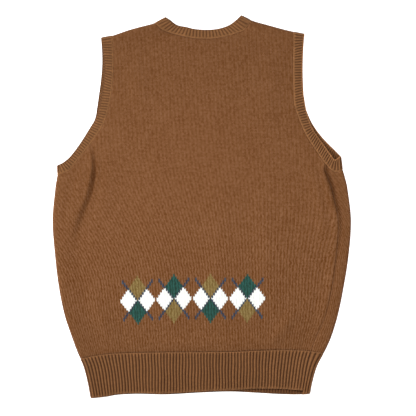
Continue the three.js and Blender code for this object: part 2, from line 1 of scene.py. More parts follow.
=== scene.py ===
"""Knitted sweater vest, laid flat with its back up.

Two panels of plain knit, a one-by-one rib hem on each, a ribbed neckband and two ribbed armhole bands. A band of
diamonds is knitted into the back. The tables are in millimetres, from the middle of the hem: x across, y towards
the neck. Meshes are in metres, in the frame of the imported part.
"""

import logging
import math
from dataclasses import dataclass, field
from enum import Enum
from typing import Any, Callable, Iterable

import bpy
import numpy as np
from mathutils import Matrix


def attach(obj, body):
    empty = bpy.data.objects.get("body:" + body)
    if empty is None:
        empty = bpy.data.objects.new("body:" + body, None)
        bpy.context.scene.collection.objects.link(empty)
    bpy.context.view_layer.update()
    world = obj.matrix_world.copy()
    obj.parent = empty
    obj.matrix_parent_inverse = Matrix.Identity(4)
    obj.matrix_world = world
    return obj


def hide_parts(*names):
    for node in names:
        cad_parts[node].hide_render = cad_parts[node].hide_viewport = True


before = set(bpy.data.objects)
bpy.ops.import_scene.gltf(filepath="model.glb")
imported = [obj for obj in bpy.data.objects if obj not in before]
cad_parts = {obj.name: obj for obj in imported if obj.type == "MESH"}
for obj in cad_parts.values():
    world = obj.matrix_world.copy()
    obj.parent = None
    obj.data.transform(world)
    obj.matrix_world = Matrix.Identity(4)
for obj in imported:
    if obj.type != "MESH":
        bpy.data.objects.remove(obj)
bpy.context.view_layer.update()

LOG = logging.getLogger("vest")
Array = np.ndarray

METRES = 0.001
MIDDLE = (0.1, 350.2)  # of the whole garment, in the tables' own frame
WALL = 2.2
LAYER_GAP = 0.3
FOLD_RADIUS = 3.6
SEAM_UNDER_LEFT = 11.0
SHOULDER_SEAM = {"left": 0.0, "right": 5.0}
UNDERARM = 417.0
YOKE = 545.0
SHOULDER_LEVEL = 666.0
NECK_LEFT = -85.8
NECK_RIGHT = 91.3
HEM_MIDDLE = 40.0
SIDE_REACH = 46.0
SHOULDER_REACH = 34.0
SIDE_FADE_FROM = 445.0
SIDE_FADE_LENGTH = 60.0
CREASE_MARGIN = 14.0
CREASE_FADE = 0.8
SHADE_POWER = 1.4  # how much narrower than a pinched fold its painted shade is
SETTLE = 0.5
PROBE = 0.4
QUARTER_TURN = FOLD_RADIUS * math.pi / 2
FOLD_CENTRE = WALL / 2 + FOLD_RADIUS
TOP_LAYER = WALL + LAYER_GAP + WALL / 2
FOLD_LIFT = FOLD_CENTRE + FOLD_RADIUS - TOP_LAYER

WALE = 3.313  # width of a stitch at the underarm
COURSE = 2.3  # height of a stitch
MOTIF_LEVEL = 181.2  # middle course of the diamonds
MOTIF_FIRST = (-117.2, 177.6)  # middle of the first unit of diamonds
FUZZ = (0.0, 0.034, 0.036, 1.0)  # what lit fuzz adds to a yarn's colour


class Side(Enum):
    """The two halves of the garment."""

    BACK = "back"
    FRONT = "front"


class Table:
    """Rows of named columns, read on a smooth curve through the rows and level beyond its ends."""

    def __init__(self, columns: str, *rows: tuple[float, ...]) -> None:
        """Keeps the rows by column.

        Args:
            columns: The columns' names; the first one is the key, which rises from row to row.
            rows: One tuple of values a row.
        """
        self.names = columns.split()
        self.data = dict(zip(self.names, np.array(rows, float).T))

    def read(self, column: str, at: Array) -> Array:
        """One column at values of the key: a cubic through the rows, with each row's slope that of its neighbours.

        Args:
            column: The column's name.
            at: Values of the key.

        Returns:
            The column's values there.
        """
        keys, values = self.data[self.names[0]], self.data[column]
        at = np.clip(np.asarray(at, float), keys[0], keys[-1])
        before = np.maximum(np.arange(len(keys)) - 1, 0)
        after = np.minimum(np.arange(len(keys)) + 1, len(keys) - 1)
        slopes = (values[after] - values[before]) / (keys[after] - keys[before])
        i = np.clip(np.searchsorted(keys, at, side="right") - 1, 0, len(keys) - 2)
        step = keys[i + 1] - keys[i]
        s = (at - keys[i]) / step
        start = values[i] * (1 + 2 * s) * (1 - s) ** 2 + slopes[i] * step * s * (1 - s) ** 2
        end = values[i + 1] * s * s * (3 - 2 * s) - slopes[i + 1] * step * s * s * (1 - s)
        return start + end


# Outer lines of the folded sides, and the right side seam, which lies on top.
SIDES = Table(
    "y left right seam",
    (0, -202.5, 196.5, 182),
    (30, -208, 202, 187),
    (60, -216, 211, 192),
    (82, -226, 222.5, 198),
    (110, -236.5, 235.5, 208),
    (150, -250, 248, 225),
    (200, -260.5, 258.5, 237),
    (260, -268, 268, 245.5),
    (325, -272.5, 272.5, 249),
    (384, -267.5, 266, 237),
    (400, -265, 262.5, 231.5),
    (UNDERARM, -262, 257.5, 224.5),
)

# Outer line of the folded shoulders, carried on over the neck.
SHOULDERS = Table(
    "x y",
    (-184, 657.2),
    (-162, 662.5),
    (-134.7, 672),
    (-111.7, 678.5),
    (NECK_LEFT, 685.5),
    (-65.3, 696.6),
    (0, 730),
    (71, 699.6),
    (NECK_RIGHT, 689.9),
    (117.4, 682.4),
    (150.3, 673.4),
    (172.2, 668.3),
    (187.5, 664.3),
)

# Lower part of the armhole seams, by distance across.
ARMHOLE_LEFT = {
    "over": Table(
        "x y", (-262, 406.5), (-249, 411.8), (-239.8, 417.5), (-226.6, 434.3), (-209, 456.6),
        (-188.5, 484.5), (-175.5, 509), (-165.7, YOKE),
    ),
    "under": Table(
        "x y", (-262, 406.5), (-250, 409), (-238, 416), (-226, 428.5), (-212, 445), (-198, 462.5),
        (-186, 482), (-177, 505), (-168.5, YOKE),
    ),
}
ARMHOLE_RIGHT = {
    "over": Table(
        "x y", (166.5, YOKE), (173.3, 521), (188.3, 484.5), (208.7, 452), (224.5, 429.7), (235.8, 417),
        (245, 412.5), (257.5, 417),
    ),
    "under": Table(
        "x y", (168, YOKE), (178, 506), (186, 490), (197, 473), (210, 458), (225, 444), (239, 430),
        (248, 422.5), (257.5, 417),
    ),
}

# Upper part of the armhole seams, by height.
ARMHOLE_LINE = {
    "over": Table(
        "y left right",
        (YOKE, -165.7, 166.5),
        (574, -162, 165.8),
        (609, -160.3, 165.5),
        (636, -161, 165.8),
        (SHOULDER_LEVEL, -162, 165.8),
    ),
    "under": Table(
        "y left right",
        (YOKE, -168.5, 168),
        (578, -165, 166.5),
        (609, -164, 166),
        (636, -163.5, 166),
        (SHOULDER_LEVEL, -162, 165.8),
    ),
}

# The neck seams, by distance across.
NECK_SEAM = {
    "over": Table(
        "x y", (NECK_LEFT, 685.5), (-75.7, 675.1), (-56.2, 666.7), (-33.7, 661), (-14.2, 657.2), (5, 656.3),
        (22.2, 656.8), (44.5, 661), (64, 666.7), (80, 673.5), (NECK_RIGHT, 689.9),
    ),
    "under": Table(
        "x y", (NECK_LEFT, 685.5), (-83, 664), (-76, 643), (-62, 622), (-40, 605), (0, 598), (40, 606),
        (64, 625), (80, 648), (88, 669), (NECK_RIGHT, 689.9),
    ),
}

# Top and bottom lines of the ribbed hem.
HEM = Table(
    "x top back front",
    (-214, 72, 0, 0.5),
    (-182, 78.5, 3, 2.5),
    (-158, 81.5, 7.7, 6.2),
    (-120, 83, 9, 8),
    (-67, 84, 8.6, 7),
    (-3, 84.4, 12.2, 10.4),
    (52, 85, 14.7, 12.2),
    (101, 87, 17.3, 10),
    (143, 88, 17.2, 7.7),
    (183, 86.8, 15, 7),
    (212, 81, 15, 9),
)

# Free edges of the bands: where the edge lies at a share of the way along each half of the seam.
NECK_EDGE = {
    "over": Table(
        "along x y", (0, -65.3, 695.6), (0.074, -57.6, 690.4), (0.183, -45, 681.5), (0.301, -28, 678),
        (0.403, -12.9, 674.3), (0.501, 6, 673), (0.589, 22, 673.6), (0.705, 38, 676.8), (0.809, 52, 682.5),
        (0.898, 64, 691.5), (1, 71, 698.5),
    ),
    "under": Table(
        "along x y", (0, 71, 698.5), (0.065, 70, 680), (0.149, 63, 661), (0.255, 50, 641), (0.364, 31, 624.5),
        (0.509, 0, 616), (0.654, -31, 623.5), (0.754, -48, 638), (0.855, -60, 658), (0.937, -65, 678),
        (1, -65.3, 695.6),
    ),
}
LEFT_EDGE = {
    "over": Table(
        "along x y", (0, -263.3, 425.3), (0.048, -257.5, 428), (0.085, -252, 431), (0.158, -239.5, 442),
        (0.261, -221.2, 466.8), (0.374, -205.3, 492), (0.465, -193.5, 512), (0.544, -187, 531),
        (0.621, -182.6, 553), (0.697, -178.5, 580), (0.817, -177.5, 610), (0.909, -180.4, 636.2),
        (1, -184, 657.2),
    ),
    "under": Table(
        "along x y", (0, -184, 657.2), (0.089, -182.4, 636), (0.181, -182, 610), (0.28, -184, 582),
        (0.366, -187.5, 556), (0.452, -191, 532), (0.54, -194, 514), (0.624, -201, 495),
        (0.702, -211.5, 478), (0.778, -225, 458.5), (0.852, -238, 441.5), (0.911, -247, 433),
        (0.955, -256, 428.5), (1, -263.3, 425.3),
    ),
}
RIGHT_EDGE = {
    "over": Table(
        "along x y", (0, 187.5, 664.3), (0.112, 185.2, 640), (0.234, 183.9, 600), (0.36, 184.6, 566),
        (0.438, 187.8, 543), (0.504, 191.6, 522.5), (0.57, 198.2, 502), (0.676, 207.8, 483.6),
        (0.768, 223, 462.5), (0.846, 235.8, 444.5), (0.903, 242.5, 436), (0.954, 247.5, 438.5),
        (1, 253.1, 442.5),
    ),
    "under": Table(
        "along x y", (0, 253.1, 442.5), (0.051, 246, 450), (0.114, 238.9, 457.1), (0.221, 224.3, 471.7),
        (0.29, 212.2, 486.3), (0.361, 202.3, 501), (0.424, 195.2, 515.6), (0.519, 188, 537),
        (0.618, 185.5, 565), (0.758, 184.5, 600), (0.898, 185.5, 638), (1, 187.5, 664.3),
    ),
}

# How far the courses hang below level, at the hem and at the diamonds.
COURSE_DROP = Table(
    "x hem motif",
    (-262, 13, 9.4),
    (-200, 9.6, 7.6),
    (-136, 2, 4.6),
    (-100, 1, 3.1),
    (-68, 0.4, 1.2),
    (-33, 0.2, -0.4),
    (0, 0, 0),
    (52, -0.6, 0),
    (101, -2.6, -0.2),
    (183, -2.4, 0.4),
    (262, 6, 2),
)


# Pinched folds that run down the garment: where each lies, its depth and width, and the light it loses. The first
# runs from the left armhole, the second along the right side seam.
PINCHES = (
    Table(
        "y x depth width shade tail",
        (285, -236, 0, 7, 0, 1.3),
        (309, -226.5, 0.4, 6.5, 0.13, 1.3),
        (324, -221.5, 0.8, 6.5, 0.25, 1.3),
        (347, -213, 1.2, 6, 0.38, 1.3),
        (370, -204, 1.7, 5.8, 0.44, 1.3),
        (390, -199.5, 2.2, 5.5, 0.54, 1.2),
        (408, -196.5, 2.4, 5.5, 0.58, 1.1),
        (426, -196, 2, 5, 0.44, 1),
        (440, -197, 1.5, 5, 0.34, 1),
        (457, -200, 0.8, 5, 0.14, 1),
        (478, -206, 0, 5, 0, 1),
    ),
    Table(
        "y x depth width shade tail",
        (96, 203, 0, 8, 0, 1),
        (123, 214, 0.3, 8, 0.04, 1),
        (150, 226, 0.5, 7, 0.06, 1),
        (200, 239, 0.6, 6, 0.08, 1),
        (260, 248, 1, 5.5, 0.14, 1.3),
        (325, 255, 1.6, 6, 0.28, 1.5),
        (360, 246.5, 2.4, 6.5, 0.38, 1.4),
        (384, 240.5, 2.8, 7, 0.44, 1.3),
        (405, 233, 2.6, 6.5, 0.5, 1.3),
        (417, 228.5, 2, 6, 0.42, 1.3),
        (428, 230.5, 1.4, 5.5, 0.34, 1),
        (440, 230, 0, 5, 0, 1),
    ),
)


def pinch(table: Table, x: Array, y: Array) -> tuple[Array, Array]:
    """One pinched fold: a trough with a lip on each side, and how much light it loses.

    Across it the height is (2t² - 1) times a bell, where t is the distance from its line over its width; on the
    left the width is tail times as large.

    Args:
        table: The fold's line and sizes by height on the table.
        x: Distances across.
        y: Heights on the table.

    Returns:
        The fold's height at each point, and the share of light lost.
    """
    t = (x - table.read("x", y)) / table.read("width", y)
    t = np.where(t < 0, t / table.read("tail", y), t)
    bell = np.exp(-t * t)
    return table.read("depth", y) * (2 * t * t - 1) * bell, table.read("shade", y) * bell**SHADE_POWER


@dataclass(frozen=True)
class Crease:
    """One soft fold of the top layer: a ridge where it rises, a trough where it falls, along a bowed line."""

    start: tuple[float, float]
    end: tuple[float, float]
    bow: float
    width: float
    rise: float

    def lift(self, x: Array, y: Array) -> Array:
        """Its height at points: rise times a bell across it, times a sine to a power along it.

        Args:
            x: Distances across.
            y: Heights on the table.

        Returns:
            The fold's height at each point.
        """
        run_x, run_y = self.end[0] - self.start[0], self.end[1] - self.start[1]
        length = math.hypot(run_x, run_y)
        part = ((x - self.start[0]) * run_x + (y - self.start[1]) * run_y) / length**2
        across = ((x - self.start[0]) * run_y - (y - self.start[1]) * run_x) / length
        off = (across - self.bow * 4 * part * (1 - part)) / self.width
        fade = np.sin(np.pi * np.clip(part, 0, 1)) ** CREASE_FADE
        return self.rise * np.exp(-off * off) * fade


# Broad soft folds.
CREASES = (
    Crease((-206, 450), (-244, 275), 0, 13, 2.2),
    Crease((-170, 470), (-196, 300), -10, 16, 1.6),
    Crease((196, 440), (226, 250), -8, 14, 2.4),
    Crease((-203, 172), (-146, 108), 4, 12, 2.6),
    Crease((-168, 182), (-118, 112), 4, 12, -1.6),
    Crease((172, 168), (122, 96), -4, 12, 2.4),
    Crease((-86, 420), (-70, 120), 6, 24, 1.5),
    Crease((30, 470), (22, 130), -7, 26, 1.2),
    Crease((118, 400), (128, 150), 5, 22, 1.5),
    Crease((-206, 100), (200, 108), 3, 15, 1.8),
    Crease((-120, 640), (-96, 500), 5, 20, 1.4),
    Crease((128, 630), (104, 480), -6, 22, 1.4),
)


def ease(t: Array) -> Array:
    """A smooth step from 0 to 1: 3t² - 2t³ between them."""
    t = np.clip(t, 0, 1)
    return t * t * (3 - 2 * t)


def mix(a: Any, b: Any, t: Any) -> Any:
    """The value at share t of the way from a to b."""
    return a + (b - a) * t


def unit(vectors: Array) -> Array:
    """The vectors at length 1."""
    return vectors / np.maximum(np.linalg.norm(vectors, axis=-1, keepdims=True), 1e-12)


@dataclass
class Spots:
    """Places on the middle of a wall: points, the way the outer face looks there, and the layer."""

    point: Array
    normal: Array
    over: Array
    turning: Array

    def take(self, index: Any) -> "Spots":
        """The spots of an index."""
        return Spots(self.point[index], self.normal[index], self.over[index], self.turning[index])

    @staticmethod
    def join(parts: Iterable["Spots"]) -> "Spots":
        """All the parts' spots, one after another."""
        parts = list(parts)
        return Spots(*(np.concatenate([getattr(p, n) for p in parts]) for n in ("point", "normal", "over", "turning")))


class Lie:
    """How the two layers of the garment lie: its folded edges, and the height of the wall's middle."""

    def left(self, y: Array) -> Array:
        """Outermost middle of the wall on the left."""
        return SIDES.read("left", y) + WALL / 2

    def right(self, y: Array) -> Array:
        """Outermost middle of the wall on the right."""
        return SIDES.read("right", y) - WALL / 2

    def shoulder(self, x: Array) -> Array:
        """Uppermost middle of the wall over the shoulders."""
        return SHOULDERS.read("y", x) - WALL / 2

    def from_fold(self, x: Array, y: Array) -> Array:
        """Distance in from the nearest folded edge."""
        return np.minimum(np.minimum(x - self.left(y), self.right(y) - x), self.shoulder(x) - y)

    def turn(self, inward: Array) -> Array:
        """Height over a fold's centre: a quarter circle of the fold's radius."""
        return np.sqrt(np.maximum(0, FOLD_RADIUS**2 - (FOLD_RADIUS - inward) ** 2))

    def swell(self, inward: Array, reach: float) -> Array:
        """The cloth's rise beside a fold, which eases out at its reach."""
        return FOLD_LIFT * (1 - ease((inward - FOLD_RADIUS) / reach))

    def over_height(self, x: Array, y: Array) -> Array:
        """Height of the top layer: round the folds, swollen beside them, with the soft folds added.

        Args:
            x: Distances across.
            y: Heights on the table.

        Returns:
            Height of the wall's middle.
        """
        inward = self.from_fold(x, y)
        fade = 1 - ease((y - SIDE_FADE_FROM) / SIDE_FADE_LENGTH)
        side = fade * self.swell(np.minimum(x - self.left(y), self.right(y) - x), SIDE_REACH)
        shoulder = self.swell(self.shoulder(x) - y, SHOULDER_REACH)
        folds = sum(crease.lift(x, y) for crease in CREASES) + sum(pinch(fold, x, y)[0] for fold in PINCHES)
        lift = np.maximum(side, shoulder) + folds * ease((inward - FOLD_RADIUS) / CREASE_MARGIN)
        flat = TOP_LAYER + (lift + np.hypot(lift, SETTLE)) / 2
        return np.where(inward < FOLD_RADIUS, FOLD_CENTRE + self.turn(inward), flat)

    def shade(self, x: Array, y: Array) -> Array:
        """Share of the light that the pinched folds of the top layer take."""
        return np.clip(sum(pinch(fold, x, y)[1] for fold in PINCHES), 0, 0.8)

    def under_height(self, x: Array, y: Array) -> Array:
        """Height of the layer underneath: flat, and round the folds."""
        inward = self.from_fold(x, y)
        return np.where(inward < FOLD_RADIUS, FOLD_CENTRE - self.turn(inward), WALL / 2)

    def spots(self, over: Array, x: Array, y: Array) -> Spots:
        """Places on the wall's middle, with the normals of its outer face.

        Args:
            over: Whether each place is in the top layer.
            x: Distances across.
            y: Heights on the table.

        Returns:
            The spots. Round a fold the wall looks away from the fold's centre line, elsewhere along its slope.
        """
        over, x, y = np.broadcast_arrays(np.asarray(over, bool), np.asarray(x, float), np.asarray(y, float))
        z = np.where(over, self.over_height(x, y), self.under_height(x, y))
        slope = (self.shoulder(x + PROBE) - self.shoulder(x - PROBE)) / (2 * PROBE)
        inwards = np.stack([x - self.left(y), self.right(y) - x, self.shoulder(x) - y])
        nearest = np.argmin(inwards, axis=0)
        inward = np.min(inwards, axis=0)
        outs = np.stack([
            np.stack([-np.ones_like(x), np.zeros_like(x)], -1),
            np.stack([np.ones_like(x), np.zeros_like(x)], -1),
            np.stack([-slope, np.ones_like(x)], -1),
        ])
        out = unit(np.take_along_axis(outs, nearest[None, ..., None], 0)[0])
        share = ((FOLD_RADIUS - inward) / FOLD_RADIUS)[..., None]
        round_fold = np.concatenate([out * share, ((z - FOLD_CENTRE) / FOLD_RADIUS)[..., None]], -1)
        rise_x = (self.over_height(x - PROBE, y) - self.over_height(x + PROBE, y)) / (2 * PROBE)
        rise_y = (self.over_height(x, y - PROBE) - self.over_height(x, y + PROBE)) / (2 * PROBE)
        sloped = np.stack([rise_x, rise_y, np.ones_like(x)], -1)
        level = np.broadcast_to(np.array([0, 0, -1.0]), sloped.shape)
        normal = np.where(over[..., None], sloped, level)
        turning = inward < FOLD_RADIUS
        normal = unit(np.where(turning[..., None], round_fold, normal))
        return Spots(np.stack([x, y, z], -1), normal, over, turning)


def inset(run: Array) -> Array:
    """Way in from a fold's outermost line at a run along the cloth: round a quarter circle, then straight."""
    length = np.abs(run)
    round_part = FOLD_RADIUS * (1 - np.cos(length / FOLD_RADIUS))
    return np.where(length < QUARTER_TURN, round_part, length - QUARTER_TURN + FOLD_RADIUS)


def run_to(inward: Array) -> Array:
    """Run along the cloth that goes in so far from a fold."""
    return inward - FOLD_RADIUS + QUARTER_TURN


@dataclass
class Patch:
    """One grid of a piece: its vertices' numbers, and which of them the plain inner face uses."""

    index: Array
    steps: tuple[int, int]


@dataclass
class Wall:
    """A piece's middle surface, from which its closed wall is made: an outer face, an inner face and rims."""

    spots: list[Spots] = field(default_factory=list)
    patches: list[Patch] = field(default_factory=list)
    uv: list[Array] = field(default_factory=list)
    outer: list[Array] = field(default_factory=list)
    inner: list[Array] = field(default_factory=list)
    tone: list[Array] = field(default_factory=list)
    count: int = 0
    inside: float = 0.55  # painted shade: the inner face's tone is the outer's times this

    def add(self, spots: Spots, uv: Array, outer: Array, inner: Array, tone: Array) -> Array:
        """Adds a grid of vertices.

        Args:
            spots: The grid's places, of any shape.
            uv: Stitch coordinates at each place.
            outer: Way out from the wall's middle to its outer face.
            inner: Way in from the wall's middle to its inner face.
            tone: Painted shade and highlight that scale the colour: on ribs 1 on a ridge and 0 in a valley's painted
                shade, with a painted highlight or shade at a cast-off edge; on panels 1 less the pinched folds' painted
                shade.

        Returns:
            The vertices' numbers, in the grid's shape.
        """
        shape = spots.over.shape
        size = int(np.prod(shape))
        flat = Spots(spots.point.reshape(-1, 3), spots.normal.reshape(-1, 3), spots.over.ravel(),
                     spots.turning.ravel())
        self.spots.append(flat)
        self.uv.append(np.broadcast_to(uv, shape + (2,)).reshape(-1, 2))
        for store, values in ((self.outer, outer), (self.inner, inner), (self.tone, tone)):
            store.append(np.broadcast_to(values, shape).ravel().astype(float))
        self.count += size
        return np.arange(self.count - size, self.count).reshape(shape)

    def patch(self, index: Array, steps: tuple[int, int] = (1, 1)) -> Array:
        """Joins a grid of vertices into squares, which face out where rows run to the left of columns."""
        self.patches.append(Patch(index, steps))
        return index

    @staticmethod
    def squares(index: Array) -> Array:
        """The corners of a grid's squares."""
        return np.stack([index[:-1, :-1], index[1:, :-1], index[1:, 1:], index[:-1, 1:]], -1).reshape(-1, 4)

    def coarse(self) -> Array:
        """For each vertex on a patch's edge, the vertex of the inner face that stands nearest to it."""
        nearest = np.arange(self.count)
        for patch in self.patches:
            i_count, j_count = patch.index.shape
            i = np.arange(i_count)[:, None]
            j = np.arange(j_count)[None, :]
            i_near = (2 * i + patch.steps[0]) // (2 * patch.steps[0]) * patch.steps[0]
            j_near = (2 * j + patch.steps[1]) // (2 * patch.steps[1]) * patch.steps[1]
            near = patch.index[np.minimum(i_near, i_count - 1), np.minimum(j_near, j_count - 1)]
            edge = (i == 0) | (i == i_count - 1) | (j == 0) | (j == j_count - 1)
            nearest[patch.index[edge]] = near[edge]
        return nearest

    def mesh(self, name: str) -> bpy.types.Object:
        """The closed wall as an object.

        Args:
            name: The piece's name.

        Returns:
            An object whose outer face lies at outer along the normals, with a plain or grooved inner face.
        """
        spots = Spots.join(self.spots)
        uv, outer, inner, tone = (np.concatenate(x) for x in (self.uv, self.outer, self.inner, self.tone))
        out_points = spots.point + spots.normal * outer[:, None]
        in_points = spots.point - spots.normal * inner[:, None]
        for points in (out_points, in_points):
            points[:, 2] = np.maximum(points[:, 2], 0)
        outer_faces = np.concatenate([self.squares(p.index) for p in self.patches])
        inner_faces = np.concatenate([
            self.squares(p.index[:: p.steps[0], :: p.steps[1]]) for p in self.patches
        ])[:, ::-1]
        starts = outer_faces.ravel()
        ends = np.roll(outer_faces, -1, axis=1).ravel()
        alone = ~np.isin(starts * self.count + ends, ends * self.count + starts)
        starts, ends = starts[alone], ends[alone]
        near = self.coarse()
        used = np.unique(inner_faces)
        number = np.full(self.count, -1)
        number[used] = self.count + np.arange(len(used))
        near_start, near_end = number[near[starts]], number[near[ends]]
        same = near_start == near_end
        rims3 = np.stack([ends[same], starts[same], near_start[same]], -1)
        rims4 = np.stack([ends[~same], starts[~same], near_start[~same], near_end[~same]], -1)
        points = np.concatenate([out_points, in_points[used]])
        points = (points - np.array([*MIDDLE, 0])) * METRES
        quads = np.concatenate([outer_faces, number[inner_faces], rims4])
        flat_rims = len(rims4) + len(rims3)
        piece = mesh_object(name, points, quads, rims3, flat_rims)
        set_uv(piece, np.concatenate([uv, uv[used]]))
        # The inner face gets painted shade: its tone is the outer's times inside.
        set_value(piece, "tone", np.concatenate([tone, tone[used] * self.inside]))
        LOG.info("%s: %d vertices, %d faces, %d of them rims", name, len(points), len(quads) + len(rims3), flat_rims)
        return piece


def mesh_object(name: str, points: Array, quads: Array, triangles: Array | None = None,
                flat: int = 0) -> bpy.types.Object:
    """Makes a smooth-shaded mesh object at the origin.

    Args:
        name: The object's name.
        points: Vertices, in metres.
        quads: Corners of its four-sided faces.
        triangles: Corners of its three-sided faces.
        flat: How many of the last faces are shaded flat.

    Returns:
        The object, linked to the scene.
    """
    triangles = np.empty((0, 3), int) if triangles is None else triangles
    corners = np.concatenate([quads.ravel(), triangles.ravel()]).astype(np.int32)
    sizes = np.concatenate([np.full(len(quads), 4), np.full(len(triangles), 3)]).astype(np.int32)
    mesh = bpy.data.meshes.new(name)
    mesh.vertices.add(len(points))
    mesh.vertices.foreach_set("co", points.astype(np.float32).ravel())
    mesh.loops.add(len(corners))
    mesh.loops.foreach_set("vertex_index", corners)
    mesh.polygons.add(len(sizes))
    mesh.polygons.foreach_set("loop_start", np.concatenate([[0], np.cumsum(sizes)[:-1]]).astype(np.int32))
    mesh.polygons.foreach_set("use_smooth", np.arange(len(sizes)) < len(sizes) - flat)
    mesh.update(calc_edges=True)
    mesh.validate()
    piece = bpy.data.objects.new(name, mesh)
    bpy.context.scene.collection.objects.link(piece)
    return piece


def set_uv(piece: bpy.types.Object, uv: Array) -> None:
    """Gives a piece its stitch coordinates, from values at its vertices."""
    corners = np.empty(len(piece.data.loops), np.int32)
    piece.data.loops.foreach_get("vertex_index", corners)
    layer = piece.data.uv_layers.new(name="stitches")
    layer.uv.foreach_set("vector", uv[corners].astype(np.float32).ravel())


def set_value(piece: bpy.types.Object, name: str, values: Array) -> None:
    """Gives a piece a named number at each vertex."""
    attribute = piece.data.attributes.new(name, "FLOAT", "POINT")
    attribute.data.foreach_set("value", values.astype(np.float32))


def along_grid(points: Array, axis: int, from_end: bool) -> Array:
    """Distance along a grid's lines from its first or last line: the sum of the steps between neighbours.

    Args:
        points: A grid of points.
        axis: The axis to go along.
        from_end: Whether to start from the last line.

    Returns:
        The distance at each point.
    """
    steps = np.linalg.norm(np.diff(points, axis=axis), axis=-1)
    zero = np.zeros_like(np.take(steps, [0], axis=axis))
    if from_end:
        return np.flip(np.cumsum(np.concatenate([zero, np.flip(steps, axis)], axis), axis), axis)
    return np.cumsum(np.concatenate([zero, steps], axis), axis)


@dataclass
class Seams:
    """Seam lines of a panel: the armhole that it meets first, the neck, and the armhole that it meets last."""

    first_armhole: Spots
    neck: Spots
    last_armhole: Spots


@dataclass
class Panel:
    """A panel of plain knit.

    The back goes from the side seam under the left fold over the top to the right side seam; the front goes
    from there round the right fold and back underneath. A run is measured along the cloth from the piece's
    own fold, positive on top.
    """

    side: Side
    lie: Lie
    wales: int = 150
    per_wale: int = 3
    lower_rows: int = 130
    yoke_rows: int = 34
    strip_rows: int = 6
    shortest_strip: float = 3.0
    inner_rows: int = 2
    groove: float = 0.42  # depth between two pairs of wales
    half_groove: float = 0.34  # depth between the two wales of a pair
    seam_dip: float = 0.15
    seam_width: float = 2.2
    bend_wales: int = 16  # wales beside the armhole that follow its seam
    seams: Seams | None = None

    @property
    def sign(self) -> int:
        """1 for the back, whose wide part is on top, and -1 for the front."""
        return 1 if self.side is Side.BACK else -1

    @property
    def layer(self) -> str:
        """The layer that holds the panel's wide part."""
        return "over" if self.side is Side.BACK else "under"

    def fold(self, y: Array) -> Array:
        """Outermost line of the fold that the panel turns round."""
        return self.lie.left(y) if self.side is Side.BACK else self.lie.right(y)

    def reach(self, over: Array, y: Array) -> Array:
        """How far in from its fold the panel reaches, on top or underneath."""
        seam, left, right = SIDES.read("seam", y), self.lie.left(y), self.lie.right(y)
        if self.side is Side.BACK:
            return np.where(over, seam - left, SEAM_UNDER_LEFT)
        return np.where(over, right - seam, right - left - SEAM_UNDER_LEFT)

    def across(self, run: Array, level: float, y: Array) -> Array:
        """Distance across at height y of the column that has a run on one level.

        The narrow part round the fold widens evenly. In the wide part each column moves by its edge's shift
        times the cube of its distance from the middle, so the middle wales stay upright.

        Args:
            run: Runs of the columns.
            level: The height at which they have these runs.
            y: The height asked for.

        Returns:
            Distances across.
        """
        over = run > 0
        flat = np.maximum(0, np.abs(run) - QUARTER_TURN)
        wider = (self.reach(over, y) - FOLD_RADIUS) / (self.reach(over, level) - FOLD_RADIUS)
        spread = np.where(flat > 0, np.sign(run) * (QUARTER_TURN + flat * wider), run)
        narrow = self.fold(y) + self.sign * inset(spread)
        wide = self.side is Side.BACK
        home = self.fold(level) + self.sign * inset(run)
        moved = home
        for at in (FOLD_RADIUS, None):
            edge, edge_home = (
                self.fold(h) + self.sign * (at if at else self.reach(wide, h)) for h in (y, level)
            )
            moved = moved + (edge - edge_home) * np.clip(home / edge_home, 0, 1) ** 3
        return np.where((flat > 0) & (over == wide), moved, narrow)

    def ends(self) -> tuple[float, float]:
        """The panel's first and last run at the underarm."""
        over = float(run_to(self.reach(True, UNDERARM)))
        under = -float(run_to(self.reach(False, UNDERARM)))
        return (under, over) if self.side is Side.BACK else (over, under)

    def runs(self) -> Array:
        """The columns' runs at the underarm, evenly spaced."""
        return np.linspace(*self.ends(), self.wales * self.per_wale + 1)

    def column_near(self, x: float) -> int:
        """The column between two wales that stands nearest to a place in the wide layer, at the underarm."""
        run = self.sign * float(run_to(abs(x - float(self.fold(UNDERARM)))))
        first, last = self.ends()
        wale = (run - first) / (last - first) * self.wales
        return self.per_wale * round(wale)

    def lower_end(self, x: Array, over: Array) -> Array:
        """Height at which a column ends: on the armhole seam, or at the yoke line."""
        end = np.full_like(x, YOKE)
        for layer, here in (("over", over), ("under", ~over)):
            left, right = ARMHOLE_LEFT[layer], ARMHOLE_RIGHT[layer]
            end = np.where(here & (x < left.data["x"][-1]), left.read("y", x), end)
            end = np.where(here & (x > right.data["x"][0]), right.read("y", x), end)
        return end

    def stitches(self, column: Array, x: Array, y: Array) -> Array:
        """Stitch coordinates: wales along the columns, courses up from the diamonds' middle course."""
        share = ease((y - UNDERARM) / (MOTIF_LEVEL - UNDERARM))
        near_hem = np.clip((MOTIF_LEVEL - y) / (MOTIF_LEVEL - 84), 0, 1)
        drop = mix(COURSE_DROP.read("motif", x), COURSE_DROP.read("hem", x), near_hem) * share
        return np.stack(np.broadcast_arrays(column / self.per_wale, (y + drop - MOTIF_LEVEL) / COURSE + 0.5), -1)

    def wale_groove(self, column: Array) -> Array:
        """Depth of the outer face: grooves between wales, every second one deeper, and level legs."""
        pair = np.where(column % (2 * self.per_wale) == 0, self.groove, self.half_groove)
        return np.where(column % self.per_wale == 0, pair, 0.0)

    def add_grid(self, wall: Wall, spots: Spots, column: Array, dip: Array) -> Array:
        """Adds a grid of the panel, with the wales' relief and the dip beside its seams.

        Args:
            wall: The wall that grows.
            spots: The grid's places, column by column.
            column: Each column's number.
            dip: Distance of each place to the nearest seam.

        Returns:
            The vertices' numbers.
        """
        x, y = spots.point[..., 0], spots.point[..., 1]
        sunk = self.seam_dip * np.exp(-((dip / self.seam_width) ** 2))
        outer = WALL / 2 - self.wale_groove(column) - sunk
